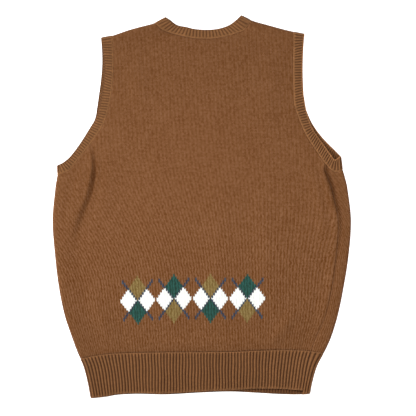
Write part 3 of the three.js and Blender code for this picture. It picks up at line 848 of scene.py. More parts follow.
        # Painted shade of the pinched folds on the top layer, carried to the colour as the vertex tone.
        light = 1 - np.where(spots.over, self.lie.shade(x, y), 0)
        return wall.add(spots, self.stitches(column, x, y), outer, WALL / 2 - 0.3 * sunk, light)

    def build(self) -> bpy.types.Object:
        """Makes the panel: a lower part up to the armhole seams, a yoke, and strips round the shoulder folds.

        Returns:
            The panel's object; its seam lines are kept in seams.
        """
        wall = Wall()
        runs = self.runs()
        columns = np.arange(len(runs))[:, None]
        steps = (self.per_wale, self.inner_rows)
        line = ARMHOLE_LINE[self.layer]
        order = ["left", "right"] if self.side is Side.BACK else ["right", "left"]
        yoke_from, yoke_to = (self.column_near(float(line.read(name, YOKE))) for name in order)
        necks = {"left": NECK_LEFT, "right": NECK_RIGHT}
        neck_from, neck_to = (self.column_near(necks[name]) for name in order)

        over = (runs > 0)[:, None]
        at_underarm = self.fold(UNDERARM) + self.sign * inset(runs)[:, None]
        top = self.lower_end(at_underarm, over)
        between = ((columns >= yoke_from) & (columns <= yoke_to))
        top = np.where(between, YOKE, top)
        base = HEM.read("top", self.across(runs, UNDERARM, HEM_MIDDLE))[:, None]
        y = mix(base, top, np.linspace(0, 1, self.lower_rows + 1)[None, :])
        spots = self.lie.spots(over, self.across(runs[:, None], UNDERARM, y), y)
        dip = np.minimum(along_grid(spots.point, 0, False), along_grid(spots.point, 0, True))
        dip = np.minimum(dip, along_grid(spots.point, 1, False))
        dip = np.minimum(dip, np.where(between, np.inf, along_grid(spots.point, 1, True)))
        lower = wall.patch(self.add_grid(wall, spots, columns, dip), steps)

        yoke = self.build_yoke(wall, lower, spots.point[:, -1, 0], (yoke_from, neck_from, neck_to, yoke_to), steps)
        strips = []
        for start, stop in ((yoke_from, neck_from), (neck_to, yoke_to)):
            strips.append(self.build_strip(wall, yoke[start - yoke_from : stop - yoke_from + 1], start, steps))
        self.keep_seams(wall, lower, yoke, strips, (yoke_from, neck_from, neck_to, yoke_to))
        return wall.mesh(f"{self.side.value}_panel_knit")

    def shoulder_runs(self, x: Array) -> tuple[Array, Array]:
        """Runs from the shoulder fold: of its seam, and of the line where the strip round the fold begins."""
        seam = np.where(x < 0, SHOULDER_SEAM["left"], SHOULDER_SEAM["right"])
        begin = self.sign * np.maximum(QUARTER_TURN, self.sign * seam + self.shortest_strip)
        return seam, begin

    def build_yoke(self, wall: Wall, lower: Array, x_base: Array, marks: tuple[int, int, int, int],
                   steps: tuple[int, int]) -> Array:
        """Adds the part between the armholes, up to the neck seam or the strip round the shoulder fold.

        Args:
            wall: The wall that grows.
            lower: The lower part's vertices.
            x_base: Distance across of each column at the yoke line.
            marks: Columns that bound the yoke and the neck.
            steps: Steps of the inner face.

        Returns:
            The vertices' numbers.
        """
        yoke_from, neck_from, neck_to, yoke_to = marks
        columns = np.arange(yoke_from, yoke_to + 1)
        x0 = x_base[columns]
        line = ARMHOLE_LINE[self.layer]
        first, last = ("left", "right") if self.side is Side.BACK else ("right", "left")
        bend = self.bend_wales * self.per_wale
        near_first = ease(1 - (columns - yoke_from) / bend)
        near_last = ease(1 - (yoke_to - columns) / bend)

        def across(y: Array) -> Array:
            """Distance across: straight up, but beside an armhole it follows the seam's own shift."""
            shift_first = line.read(first, y) - line.read(first, YOKE)
            shift_last = line.read(last, y) - line.read(last, YOKE)
            return x0[:, None] + near_first[:, None] * shift_first + near_last[:, None] * shift_last

        x_top = across(np.full((len(columns), 1), SHOULDER_LEVEL))[:, 0]
        under_neck = (columns > neck_from) & (columns < neck_to)
        begin = self.shoulder_runs(x_top)[1]
        end = np.where(under_neck, NECK_SEAM[self.layer].read("y", x_top), self.lie.shoulder(x_top) - inset(begin))
        y = mix(YOKE, end[:, None], np.linspace(0, 1, self.yoke_rows + 1)[None, 1:])
        spots = self.lie.spots(self.side is Side.BACK, across(y), y)
        dip = np.minimum(along_grid(spots.point, 0, False), along_grid(spots.point, 0, True))
        dip = np.minimum(dip, np.where(under_neck[:, None], along_grid(spots.point, 1, True), np.inf))
        index = self.add_grid(wall, spots, columns[:, None], dip)
        index = np.concatenate([lower[columns, -1:], index], axis=1)
        return wall.patch(index, steps)

    def build_strip(self, wall: Wall, yoke: Array, start: int, steps: tuple[int, int]) -> Array:
        """Adds the strip from the yoke's top line round the shoulder fold to the shoulder seam."""
        columns = np.arange(start, start + len(yoke))
        x = np.concatenate([s.point for s in wall.spots])[yoke[:, -1], 0]
        seam, begin = self.shoulder_runs(x)
        run = mix(begin[:, None], seam[:, None], np.linspace(0, 1, self.strip_rows + 1)[None, 1:])
        spots = self.lie.spots(run >= 0, x[:, None], self.lie.shoulder(x)[:, None] - inset(run))
        dip = np.abs(run - seam[:, None])
        index = self.add_grid(wall, spots, columns[:, None], dip)
        return wall.patch(np.concatenate([yoke[:, -1:], index], axis=1), steps)

    def keep_seams(self, wall: Wall, lower: Array, yoke: Array, strips: list[Array],
                   marks: tuple[int, int, int, int]) -> None:
        """Keeps the seam lines, in the order in which the grids' edges run."""
        yoke_from, neck_from, neck_to, yoke_to = marks
        spots = Spots.join(wall.spots)
        top = lower[:, -1]
        neck_top = yoke[neck_from - yoke_from + 1 : neck_to - yoke_from, -1]
        first = np.concatenate([top[:yoke_from], yoke[0], strips[0][0, 1:]])
        neck = np.concatenate([strips[0][-1, ::-1], neck_top, strips[1][0]])
        last = np.concatenate([strips[1][-1, :0:-1], yoke[-1, ::-1], top[yoke_to + 1 :]])
        self.seams = Seams(*(spots.take(line) for line in (first, neck, last)))


def rib_ridge(t: Array) -> Array:
    """Cross-section of a rib at a place in its pitch: a sine to a power, so that valleys are as wide as ridges."""
    return np.sin(np.pi * (np.asarray(t) % 1)) ** 1.3


RIM_WIDTH = 2.6  # width of the painted highlight or shade along a cast-off edge


@dataclass
class RibShape:
    """Relief of one-by-one rib."""

    depth: float = 1.5
    inner_depth: float = 0.6
    proud: float = 0.6
    lip: float = 3.4  # length over which ribs run out into the cast-off edge
    link: float = 2.8  # width of the linked seam, a low round ridge
    link_rise: float = 0.5
    start: float = 1.8  # length over which ribs grow beside the seam
    sunk: float = 0.4  # how far the seam lies below the wall's face
    edge: float = 1.3  # length over which the cast-off edge is rounded
    per_rib: int = 6
    valley_shade: float = 1.0  # how much painted shade darkens a valley, from 0 to 1
    painted_edge_light: float = 0.0  # painted highlight along the cast-off edge; below 0, painted shade

    def faces(self, ridge: Array, from_seam: Array, from_edge: Array, over: Array) -> tuple[Array, Array, Array]:
        """Ways out to both faces of the cloth.

        Args:
            ridge: The ribs' cross-section, 0 in a valley and 1 on a ridge.
            from_seam: Distance to the seam.
            from_edge: Distance to the free edge.
            over: Whether the place is seen on top; underneath, the ridges lie level with the wall.

        Returns:
            Way out to the outer face, way in to the inner face, and the tone: painted shade in the valleys and a
            painted highlight or shade at the cast-off edge.
        """
        risen = ease((from_seam - 0.7 * self.link) / self.start)
        grown = risen * ease(from_edge / self.lip - 0.25)
        level = mix(1.0, ridge, grown)
        edge = np.clip(from_edge / self.edge, 0, 1)
        linked = self.link_rise * np.sin(np.pi * np.clip(from_seam / max(self.link, 0.1), 0, 1)) - self.sunk * (1 - risen)
        outer = WALL / 2 + np.where(over, self.proud * risen + linked, 0.0) - self.depth * (1 - level)
        outer = mix(0.35, outer, np.sqrt(edge))
        inner = mix(0.35, WALL / 2 - self.inner_depth * level, np.sqrt(edge))
        # The tone: painted shade in the valleys, and a painted highlight or shade along the cast-off edge.
        tone = mix(1.0, ridge, grown * self.valley_shade) + self.painted_edge_light * np.clip(1 - from_edge / RIM_WIDTH, 0, 1)
        return outer, inner, np.maximum(tone, 0)


@dataclass
class HemRib:
    """The ribbed hem of one panel."""

    panel: Panel
    ribs: int
    # The hem's cast-off edge gets a painted highlight.
    shape: RibShape = field(default_factory=lambda: RibShape(link=0, start=1.4, painted_edge_light=0.35))
    rows: int = 26
    sway: float = 0.5

    def build(self) -> bpy.types.Object:
        """Makes the hem: columns round the fold, ribs across them, from the cast-off edge up to the panel.

        Returns:
            The hem's object.
        """
        side = self.panel.side
        over = float(run_to(self.panel.reach(True, HEM_MIDDLE)))
        under = -float(run_to(self.panel.reach(False, HEM_MIDDLE)))
        first, last = (under, over) if side is Side.BACK else (over, under)
        columns = np.arange(self.ribs * self.shape.per_rib + 1)[:, None]
        share = columns / columns[-1]
        run = mix(first, last, share)
        rows = np.linspace(0, 1, self.rows + 1)[None, :]
        sway = self.sway * np.sin(np.pi * share) ** 0.5 * np.sin(7 * rows + 31 * share) * np.sin(np.pi * rows)
        run_here = run + np.where(np.abs(run) > 2 * QUARTER_TURN, sway, 0)
        base_x = self.panel.across(run, HEM_MIDDLE, HEM_MIDDLE)
        y = mix(HEM.read(side.value, base_x), HEM.read("top", base_x), rows)
        spots = self.panel.lie.spots(np.broadcast_to(run > 0, y.shape), self.panel.across(run_here, HEM_MIDDLE, y), y)
        ridge = np.broadcast_to(rib_ridge(columns / self.shape.per_rib), y.shape)
        length = along_grid(spots.point, 1, False)
        raised = ease((spots.point[..., 2] - WALL / 2) / FOLD_RADIUS)
        outer, inner, tone = self.shape.faces(ridge, length[:, -1:] - length, length, raised > 0.5)
        outer = np.where(raised > 0.5, outer, outer + self.shape.proud * raised)
        uv = np.stack(np.broadcast_arrays(2 * columns / self.shape.per_rib, length / COURSE), -1)
        wall = Wall()
        wall.patch(wall.add(spots, uv, outer, inner, tone))
        return wall.mesh(f"hem_{side.value}_ribs")


@dataclass
class Band:
    """A ribbed band round the neck or an armhole."""

    name: str
    seam: Spots
    edge: dict[str, Table]
    pitch: float
    lie: Lie
    shape: RibShape = field(default_factory=RibShape)
    rows: int = 14
    crown: float = 0.5
    slant: float = 0.0  # share of the free edge by which the top ribs' ends lie further up, near the underarm
    # painted shade: the inner face's tone is the outer's times this
    inside: float = 0.85
    ring: tuple[Array, Array, Array, Array] | None = None

    def stations(self) -> tuple[Spots, Spots]:
        """The seam's spots in loop order, starting where they come up on top, and the free edge's beside them.

        Returns:
            Seam spots and free edge spots.
        """
        seam = self.seam
        start = int(np.argmax(seam.over & ~np.roll(seam.over, 1)))
        seam = seam.take(np.roll(np.arange(len(seam.over)), -start))
        split = int(np.argmin(seam.over))
        frees = []
        for layer, part in (("over", slice(0, split)), ("under", slice(split, None))):
            half = seam.take(part)
            steps = np.linalg.norm(np.diff(half.point[:, :2], axis=0), axis=1)
            along = np.concatenate([[0], np.cumsum(steps)]) / steps.sum()
            if layer == "over":
                down = 1 if half.point[-1, 1] < half.point[0, 1] else -1
                low = along if down > 0 else 1 - along
                along = along - down * self.slant * np.sin(np.pi * low**3)
            free = self.lie.spots(layer == "over", self.edge[layer].read("x", along), self.edge[layer].read("y", along))
            free.point[:, 2] = np.where(half.turning, half.point[:, 2], free.point[:, 2])
            free.normal = np.where(half.turning[:, None], half.normal, free.normal)
            frees.append(free)
        return seam, Spots.join(frees)

    def build(self) -> bpy.types.Object:
        """Makes the band: ribs along the loop, each straight across from the seam to the free edge.

        Returns:
            The band's object.
        """
        seam, free = self.stations()
        middle = (seam.point + free.point) / 2
        closed = np.concatenate([middle, middle[:1]])
        lengths = np.concatenate([[0], np.cumsum(np.linalg.norm(np.diff(closed, axis=0), axis=1))])
        ribs = round(lengths[-1] / self.pitch)
        columns = np.arange(ribs * self.shape.per_rib)
        along = columns / len(columns) * lengths[-1]

        def carry(values: Array) -> Array:
            """Values at the columns, straight between the stations."""
            looped = np.concatenate([values, values[:1]]).astype(float)
            return np.stack([np.interp(along, lengths, looped[:, n]) for n in range(looped.shape[1])], -1)

        seam_point, free_point = carry(seam.point), carry(free.point)
        seam_normal, free_normal = unit(carry(seam.normal)), unit(carry(free.normal))
        self.ring = (seam_point, seam_normal, free_point, free_normal)
        part = np.linspace(0, 1, self.rows + 1)[None, :, None]
        normal = unit(mix(seam_normal[:, None], free_normal[:, None], part))
        point = mix(seam_point[:, None], free_point[:, None], part)
        up = np.clip(normal[..., 2:], 0, 1)
        point = point + normal * self.crown * up * np.sin(np.pi * part)
        over = normal[..., 2] > -0.2
        spots = Spots(point, normal, over, np.zeros(over.shape, bool))
        length = along_grid(point, 1, False)
        ridge = np.broadcast_to(rib_ridge(columns / self.shape.per_rib)[:, None], over.shape)
        outer, inner, tone = self.shape.faces(ridge, length, length[:, -1:] - length, over)
        uv = np.stack(np.broadcast_arrays(2 * columns[:, None] / self.shape.per_rib, length / COURSE), -1)
        wall = Wall(inside=self.inside)
        index = wall.add(spots, uv, outer, inner, tone)
        wall.patch(np.concatenate([index, index[:1]]))
        return wall.mesh(self.name)


class Value:
    """A number from a shader socket, with Python's operators."""

    def __init__(self, graph: "Graph", socket: Any) -> None:
        """Keeps the socket and the graph that it is in."""
        self.graph = graph
        self.socket = socket

    def math(self, operation: str, *others: Any) -> "Value":
        """A Math node on this value and others."""
        inputs = {n: x for n, x in enumerate((self, *others))}
        return Value(self.graph, self.graph.node("ShaderNodeMath", {"operation": operation}, inputs).outputs[0])

    def __add__(self, other: Any) -> "Value":
        """Sum."""
        return self.math("ADD", other)

    __radd__ = __add__

    def __sub__(self, other: Any) -> "Value":
        """Difference."""
        return self.math("SUBTRACT", other)

    def __rsub__(self, other: float) -> "Value":
        """Difference from a number."""
        return self.graph.number("SUBTRACT", other, self)

    def __mul__(self, other: Any) -> "Value":
        """Product."""
        return self.math("MULTIPLY", other)

    __rmul__ = __mul__

    def __truediv__(self, other: Any) -> "Value":
        """Quotient."""
        return self.math("DIVIDE", other)

    def __pow__(self, other: float) -> "Value":
        """Power."""
        return self.math("POWER", other)

    def __abs__(self) -> "Value":
        """Size without the sign."""
        return self.math("ABSOLUTE")

    def __lt__(self, other: Any) -> "Value":
        """1 where it is less."""
        return self.math("LESS_THAN", other)

    def __gt__(self, other: Any) -> "Value":
        """1 where it is greater."""
        return self.math("GREATER_THAN", other)

    def floor(self) -> "Value":
        """Whole part."""
        return self.math("FLOOR")

    def fract(self) -> "Value":
        """What is left over the whole part."""
        return self.math("FRACT")

    def sine(self) -> "Value":
        """Sine."""
        return self.math("SINE")

    def clamp(self) -> "Value":
        """Kept from 0 to 1."""
        return self.math("MINIMUM", 1.0).math("MAXIMUM", 0.0)


class Graph:
    """The node tree of one material."""

    def __init__(self, name: str) -> None:
        """Makes the material and empties its tree."""
        self.material = bpy.data.materials.new(name)
        self.material.use_nodes = True
        self.tree = self.material.node_tree
        self.tree.nodes.clear()

    def node(self, kind: str, settings: dict[str, Any] | None = None, inputs: dict[Any, Any] | None = None) -> Any:
        """Adds a node.

        Args:
            kind: The node's type.
            settings: Its settings, set first.
            inputs: Values or links, by socket.

        Returns:
            The node.
        """
        made = self.tree.nodes.new(kind)
        for name, value in (settings or {}).items():
            setattr(made, name, value)
        for name, value in (inputs or {}).items():
            source = value.socket if isinstance(value, Value) else value
            if isinstance(source, bpy.types.NodeSocket):
                self.tree.links.new(source, made.inputs[name])
            else:
                made.inputs[name].default_value = source
        return made

    def number(self, operation: str, *inputs: Any) -> Value:
        """A Math node on numbers and values."""
        made = self.node("ShaderNodeMath", {"operation": operation}, dict(enumerate(inputs)))
        return Value(self, made.outputs[0])

    def stitches(self) -> tuple[Value, Value]:
        """The piece's stitch coordinates: wales and courses."""
        split = self.node("ShaderNodeSeparateXYZ", {}, {0: self.node("ShaderNodeUVMap", {"uv_map": "stitches"}).outputs[0]})
        return Value(self, split.outputs[0]), Value(self, split.outputs[1])

    def attribute(self, name: str) -> Value:
        """A number that the piece's vertices carry."""
        return Value(self, self.node("ShaderNodeAttribute", {"attribute_name": name}).outputs["Fac"])

    def random(self, *coordinates: Value) -> Value:
        """A random number for each cell of whole coordinates, the same every time."""
        inputs = dict(enumerate(coordinates))
        spot = self.node("ShaderNodeCombineXYZ", {}, inputs).outputs[0]
        made = self.node("ShaderNodeTexWhiteNoise", {"noise_dimensions": "3D"}, {"Vector": spot})
        return Value(self, made.outputs["Value"])

    def noise(self, scale: float, detail: float, vector: Any = None) -> Value:
        """Soft noise from 0 to 1, on the piece's own place or on a vector."""
        spot = vector or self.node("ShaderNodeTexCoord").outputs["Object"]
        made = self.node("ShaderNodeTexNoise", {}, {"Vector": spot, "Scale": scale, "Detail": detail})
        return Value(self, made.outputs[0])

    def vector(self, *coordinates: Value) -> Any:
        """A vector of values."""
        return self.node("ShaderNodeCombineXYZ", {}, dict(enumerate(coordinates))).outputs[0]

    def blend(self, factor: Any, first: Any, second: Any) -> Any:
        """A colour at a share of the way from the first to the second."""
        return self.node("ShaderNodeMix", {"data_type": "RGBA"}, {0: factor, 6: first, 7: second}).outputs[2]

    def shade(self, colour: Any, factor: Value) -> Any:
        """A colour times a number."""
        plain = colour[:3] if isinstance(colour, tuple) else colour
        scaled = self.node("ShaderNodeVectorMath", {"operation": "SCALE"}, {0: plain, "Scale": factor})
        return scaled.outputs[0]

    def toned_and_shaded(self, colour: Any, tone: Value, share: float = 1.0) -> Any:
        """A yarn's colour times a tone that holds its own variation and painted shade, with a share of pale fuzz added
        where the tone is over 1, less under it.
        """
        fuzz = self.shade(FUZZ, (tone - 1.0) * share)
        total = self.node("ShaderNodeVectorMath", {"operation": "ADD"}, {0: self.shade(colour, tone), 1: fuzz})
        floored = self.node("ShaderNodeVectorMath", {"operation": "MAXIMUM"}, {0: total.outputs[0], 1: (0, 0, 0)})
        return floored.outputs[0]

    def spread(self, value: Value, start: float, end: float, low: float, high: float) -> Value:
        """A number that goes smoothly from low at start to high at end."""
        made = self.node("ShaderNodeMapRange", {"interpolation_type": "SMOOTHSTEP"}, {
            "Value": value, "From Min": start, "From Max": end, "To Min": low, "To Max": high,
        })
        return Value(self, made.outputs[0])


def linear(red: int, green: int, blue: int) -> tuple[float, float, float, float]:
    """A shader colour from screen values of 0 to 255."""
    parts = [v / 255 for v in (red, green, blue)]
    return (*(p / 12.92 if p <= 0.04045 else ((p + 0.055) / 1.055) ** 2.4 for p in parts), 1.0)


@dataclass(frozen=True)
class Yarn:
    """Colours of the yarns, and the painted shade of the rib valleys."""

    brown: tuple[float, float, float, float] = linear(115, 74, 42)
    ridge: tuple[float, float, float, float] = linear(133, 90, 54)
    # the rib yarn darkened with painted shade, for the valleys
    valley: tuple[float, float, float, float] = linear(55, 26, 6)
    white: tuple[float, float, float, float] = linear(238, 240, 235)
    green: tuple[float, float, float, float] = linear(36, 74, 65)
    olive: tuple[float, float, float, float] = linear(124, 102, 58)
    navy: tuple[float, float, float, float] = linear(56, 64, 76)


@dataclass(frozen=True)
class Stockinette:
    """Plain knit: V-shaped stitches in columns, with a band of diamonds knitted in where asked for."""

    name: str
    yarn: Yarn
    lean: float = 0.95  # courses that a stitch's leg climbs over half a wale
    groove_shade: float = 0.42
    stripe_shade: float = 1.0  # how strongly the faint stripes along the stitches show
    row_shade: float = 0.12  # how strongly the faint rows across show
    stripe_lean: float = 0.025
    stripe_slip: float = 1.1
    fan_wale: float = 106.0  # the stripes fan out from this wale towards the neck
    fan_from: float = 120.0
    fan_to: float = 10.0
    fan_wide: float = 0.46  # stripes a wale at the course fan_from
    fan_close: float = 0.64  # stripes a wale at the course fan_to
    white_calm: float = 0.72
    # share of the fuzz taken out under the pinched folds' painted shade
    crease_shade_fuzz: float = 0.32
    stitch_depth: float = 0.00035
    motif_wale: int | None = None
    units: int = 4
    repeat: int = 20

    def diamonds(self, g: Graph, wale: Value, course: Value, ground: Any) -> tuple[Any, Value]:
        """Colours the band of diamonds by stitch.

        Counted from a unit's middle stitch: white where 2·||wales|-5| + |courses| is 9 or less, dark lines where
        |courses| is 2·|wales| or up to two less, coloured diamonds above and below between the lines.

        Args:
            g: The material's graph.
            wale: Whole wales.
            course: Whole courses from the middle one.
            ground: The colour around the diamonds.

        Returns:
            The colour, and 1 on white stitches.
        """
        half = self.repeat / 2
        from_first = wale - (self.motif_wale - half)
        number = (from_first / self.repeat).floor()
        beside = abs(from_first - number * self.repeat - half)
        above = abs(course)
        inside = (number > -0.5) * (number < self.units - 0.5)
        white = (abs(beside - 5) * 2 + above < 9.5) * inside
        below = beside * 2 - above
        line = (below > -0.5) * (below < 2.5 - white) * (beside < 8.5) * inside
        diamond = (beside < 4.5) * (above > beside * 2 + 0.5) * (above < 19.5 - beside * 2) * inside
        odd = (number / 2).fract() * 2
        upper = course > 0.5
        green = abs(odd - upper) < 0.5
        tinted = g.blend(green, self.yarn.olive, self.yarn.green)
        colour = g.blend(diamond, ground, tinted)
        colour = g.blend(white, colour, self.yarn.white)
        return g.blend(line, colour, self.yarn.navy), white * (1.0 - line)

    def material(self) -> bpy.types.Material:
        """Builds the material.

        Returns:
            Plain knit: each stitch has two legs that lean apart, lit by bump, with a groove between wales.
        """
        g = Graph(self.name)
        u, v = g.stitches()
        side = abs(u.fract() - 0.5) * 2
        lifted = v - side * self.lean
        wale, course = u.floor(), lifted.floor()
        leg = (side * math.pi).sine().math("MAXIMUM", 0.0) ** 0.5
        swell = 1 - abs(lifted.fract() * 2 - 1) ** 2.0
        height = leg * (swell * 0.55 + 0.45)
        colour, white = self.yarn.brown, 0.0
        if self.motif_wale is not None:
            colour, white = self.diamonds(g, wale, course, colour)
        stitch = g.random(wale, course)
        close = g.spread(v, self.fan_from, self.fan_to, self.fan_wide, self.fan_close)
        slip = g.noise(1.0, 1.0, g.vector(u * 0.45, v * 0.3))
        strong = g.noise(1.0, 1.0, g.vector(u * 0.3, v * 0.26))
        phase = (u - self.fan_wale) * close + v * self.stripe_lean + slip * self.stripe_slip
        stripes = (phase * (2 * math.pi)).sine() * (strong * 2.4 - 0.4).clamp() * close**3 * self.stripe_shade
        rows = g.noise(1.0, 0.0, g.vector(u * 0.1, v * 0.7)) - 0.5
        patches = g.noise(14.0, 3.0)
        fibres = g.noise(1.0, 2.0, g.vector(u * 9.0, lifted * 3.0))
        # The tone: painted shade in the grooves between legs and wales, with the yarn's own random variation and faint
        # stripes.
        tone = height * self.groove_shade + (1.0 - self.groove_shade * 0.62)
        tone = tone * (0.86 + stitch * 0.28) * (stripes + rows * self.row_shade + 1.0)
        tone = tone * (0.93 + patches * 0.14) * (0.94 + fibres * 0.12)
        tone = tone + (1.0 - tone) * white * self.white_calm
        # Base colour: the stitch tone, then the pinched folds' painted shade from the vertex tone.
        shader = g.node("ShaderNodeBsdfPrincipled", {}, {
            "Base Color": g.toned_and_shaded(g.toned_and_shaded(colour, tone), g.attribute("tone"), self.crease_shade_fuzz),
            "Roughness": 0.92,
            "Specular IOR Level": 0.15,
            "Sheen Weight": 0.04,
            "Sheen Roughness": 0.6,
            "Normal": g.node("ShaderNodeBump", {}, {
                "Strength": 0.7,
                "Distance": self.stitch_depth,
                "Height": height + fibres * 0.15,
            }).outputs[0],
        })
        g.node("ShaderNodeOutputMaterial", {}, {"Surface": shader.outputs[0]})
        return g.material


@dataclass(frozen=True)
class Ribbing:
    """One-by-one rib: stitches on the ridges, with painted shade darkening the valleys between them."""

    name: str
    yarn: Yarn
    stitch_depth: float = 0.0004

    def material(self) -> bpy.types.Material:
        """Builds the material.

        Returns:
            Ribbing: the vertices' tone paints shade into the valleys and a highlight or shade along the cast-off edge,
                and each ridge is one column of V-shaped stitches.
        """
        g = Graph(self.name)
        u, v = g.stitches()
        tone = g.attribute("tone")
        side = abs((u / 2).fract() - 0.5) * 2
        lifted = v - side * 0.7
        course = lifted.floor()
        rib = (u / 2).floor()
        leg = (side * math.pi).sine().math("MAXIMUM", 0.0) ** 0.5
        swell = 1 - abs(lifted.fract() * 2 - 1) ** 2.0
        height = (leg * 0.4 + 0.6) * (swell * 0.5 + 0.5)
        stitch = g.random(rib, course)
        uneven = g.random(rib)
        patches = g.noise(18.0, 3.0)
        fibres = g.noise(1.0, 2.0, g.vector(u * 8.0, v * 4.0))
        shade = (height * 0.24 + 0.82) * (0.92 + stitch * 0.16) * (0.93 + uneven * 0.14)
        shade = shade * (0.93 + patches * 0.14) * (0.94 + fibres * 0.12)
        # Base colour: painted shade in the valleys from the vertex tone, and a painted highlight where that tone is
        # over 1.
        shader = g.node("ShaderNodeBsdfPrincipled", {}, {
            "Base Color": g.shade(g.blend(tone, self.yarn.valley, self.yarn.ridge), shade * tone.math("MAXIMUM", 1.0)),
            "Roughness": 0.92,
            "Specular IOR Level": 0.15,
            "Sheen Weight": 0.04,
            "Sheen Roughness": 0.6,
            "Normal": g.node("ShaderNodeBump", {}, {
                "Strength": 0.6,
                "Distance": self.stitch_depth,
                "Height": height + fibres * 0.15,
            }).outputs[0],
        })
        g.node("ShaderNodeOutputMaterial", {}, {"Surface": shader.outputs[0]})
        return g.material


@dataclass(frozen=True)
class Cut:
    """Flat cut of a piece: width and length in metres, and its area where it isn't a rectangle."""

    width: float
    length: float
    area: float | None = None


@dataclass
class Vest:
    """The whole garment: its panels, hems and bands."""

    lie: Lie = field(default_factory=Lie)
    yarn: Yarn = field(default_factory=Yarn)
    hem_ribs: dict[Side, int] = field(default_factory=lambda: {Side.BACK: 74, Side.FRONT: 78})
    armhole_pitch: float = 4.9
    neck_pitch: float = 6.0

    def seat(self, piece: bpy.types.Object, node: str) -> None:
        """Attaches a piece to the root, hides the part that it stands for and logs which one it is."""
        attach(piece, "root")
        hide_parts(node)
        LOG.info("%s stands for %s", piece.name, node)

    def motif_wale(self, back: Panel) -> int:
        """The wale that the middle of the first unit of diamonds falls on."""
        x, y = MOTIF_FIRST
        first, last = back.ends()
        places = back.across(back.runs(), UNDERARM, y)
        wale = float(np.interp(x, places[len(places) // 20 :], back.runs()[len(places) // 20 :]) - first)
        wale = wale / (last - first) * back.wales
        LOG.info("first unit of diamonds: wale %.2f", wale)
        return math.floor(wale)

    def build(self) -> None:
        """Builds and dresses every piece."""
        back = Panel(Side.BACK, self.lie)
        front = Panel(Side.FRONT, self.lie, wales=158)
        back_piece, front_piece = back.build(), front.build()
        back_hem = HemRib(back, self.hem_ribs[Side.BACK]).build()
        front_hem = HemRib(front, self.hem_ribs[Side.FRONT]).build()
        # The free edges of the neckband and left band get painted shade, and the right band's free edge a painted
        # highlight.
        neck = Band("neckband_ribs", Spots.join([back.seams.neck, front.seams.neck]), NECK_EDGE, self.neck_pitch,
                    self.lie, RibShape(depth=1.2, valley_shade=0.65, lip=2.4, painted_edge_light=-0.5))
        left = Band("armhole_left_ribs", Spots.join([front.seams.last_armhole, back.seams.first_armhole]), LEFT_EDGE,
                    self.armhole_pitch, self.lie, RibShape(inner_depth=1.0, lip=1.9, valley_shade=0.65, painted_edge_light=-0.7))
        right = Band("armhole_right_ribs", Spots.join([back.seams.last_armhole, front.seams.first_armhole]),
                     RIGHT_EDGE, self.armhole_pitch, self.lie,
                     RibShape(inner_depth=1.0, lip=1.9, valley_shade=0.85, painted_edge_light=0.9), slant=0.03)
        plain = Stockinette("plain_knit", self.yarn).material()
        diamonds = Stockinette("diamond_knit", self.yarn, motif_wale=self.motif_wale(back)).material()
        rib = Ribbing("rib_knit", self.yarn).material()
        back_piece.data.materials.append(diamonds)
        front_piece.data.materials.append(plain)
        self.seat(back_piece, "back_panel")
        self.seat(front_piece, "front_panel")
        for piece, node, cut, rests_on in (
            (back_hem, "hem_rib_back", Cut(0.405, 0.085), ["hem_front_ribs"]),
            (front_hem, "hem_rib_front", Cut(0.41, 0.085), ["floor"]),
            (neck.build(), "neckband", Cut(0.46, 0.02), ["floor"]),
            (left.build(), "armhole_band_left", Cut(0.56, 0.02), ["floor"]),
            (right.build(), "armhole_band_right", Cut(0.56, 0.02), ["floor"]),
        ):
            piece.data.materials.append(rib)
            self.seat(piece, node)


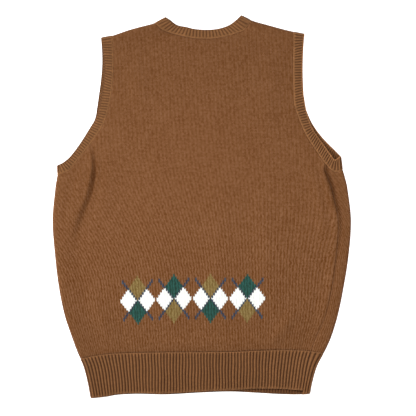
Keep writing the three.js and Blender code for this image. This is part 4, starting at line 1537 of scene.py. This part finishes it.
@dataclass
class Studio:
    """A pale floor, soft light and the camera over it."""

    picture_width: float = 0.760
    centre: tuple[float, float] = (0.0113, -0.0027)
    lens: float = 200.0
    sensor: float = 36.0
    floor_size: float = 6.0
    floor_level: float = -0.0004

    def floor(self) -> None:
        """Lays the floor just under the garment."""
        h = self.floor_size / 2
        points = np.array([[-h, -h, self.floor_level], [h, -h, self.floor_level], [h, h, self.floor_level],
                           [-h, h, self.floor_level]])
        floor = mesh_object("floor", points, np.array([[0, 1, 2, 3]]))
        g = Graph("floor_white")
        shader = g.node("ShaderNodeBsdfPrincipled", {}, {
            "Base Color": (0.93, 0.93, 0.93, 1), "Roughness": 0.9, "Emission Color": (1, 1, 1, 1),
            "Emission Strength": 1.0,
        })
        g.node("ShaderNodeOutputMaterial", {}, {"Surface": shader.outputs[0]})
        floor.data.materials.append(g.material)

    def lamp(self, name: str, place: tuple[float, float, float], size: tuple[float, float], power: float) -> None:
        """Hangs an area light that looks at the garment's middle, its second size along the way it leans."""
        data = bpy.data.lights.new(name, "AREA")
        data.energy, data.shape = power, "RECTANGLE"
        data.size, data.size_y = size
        lamp = bpy.data.objects.new(name, data)
        x, y, z = place
        lamp.location = place
        lamp.rotation_euler = (math.atan2(math.hypot(x, y), z), 0, math.atan2(y, x) + math.pi / 2)
        bpy.context.scene.collection.objects.link(lamp)

    def light(self) -> None:
        """Sets a key from the left, a weak fill from the right, a low strip along the chest and a pale surround."""
        self.lamp("key", (-3.7, 1.0, 2.2), (1.4, 1.4), 168)
        self.lamp("fill", (3.2, 0.9, 1.8), (1.4, 1.4), 20)
        self.lamp("strip", (-0.06, 0.0, 0.62), (0.3, 1.2), 3.4)
        world = bpy.data.worlds.new("surround")
        world.use_nodes = True
        world.node_tree.nodes["Background"].inputs[0].default_value = (1, 1, 1, 1)
        world.node_tree.nodes["Background"].inputs[1].default_value = 0.26
        bpy.context.scene.world = world
        bpy.context.scene.view_settings.view_transform = "Standard"

    def camera(self) -> None:
        """Puts the camera straight over the garment, at the distance that frames the picture's width."""
        data = bpy.data.cameras.new("camera")
        data.lens, data.sensor_width = self.lens, self.sensor
        camera = bpy.data.objects.new("camera", data)
        camera.location = (*self.centre, self.picture_width * self.lens / self.sensor)
        bpy.context.scene.collection.objects.link(camera)
        bpy.context.scene.camera = camera


def main() -> None:
    """Builds the studio and the garment."""
    logging.basicConfig(level=logging.INFO, format="%(message)s")
    studio = Studio()
    studio.camera()
    studio.floor()
    studio.light()
    Vest().build()


if __name__ == "__main__":
    main()
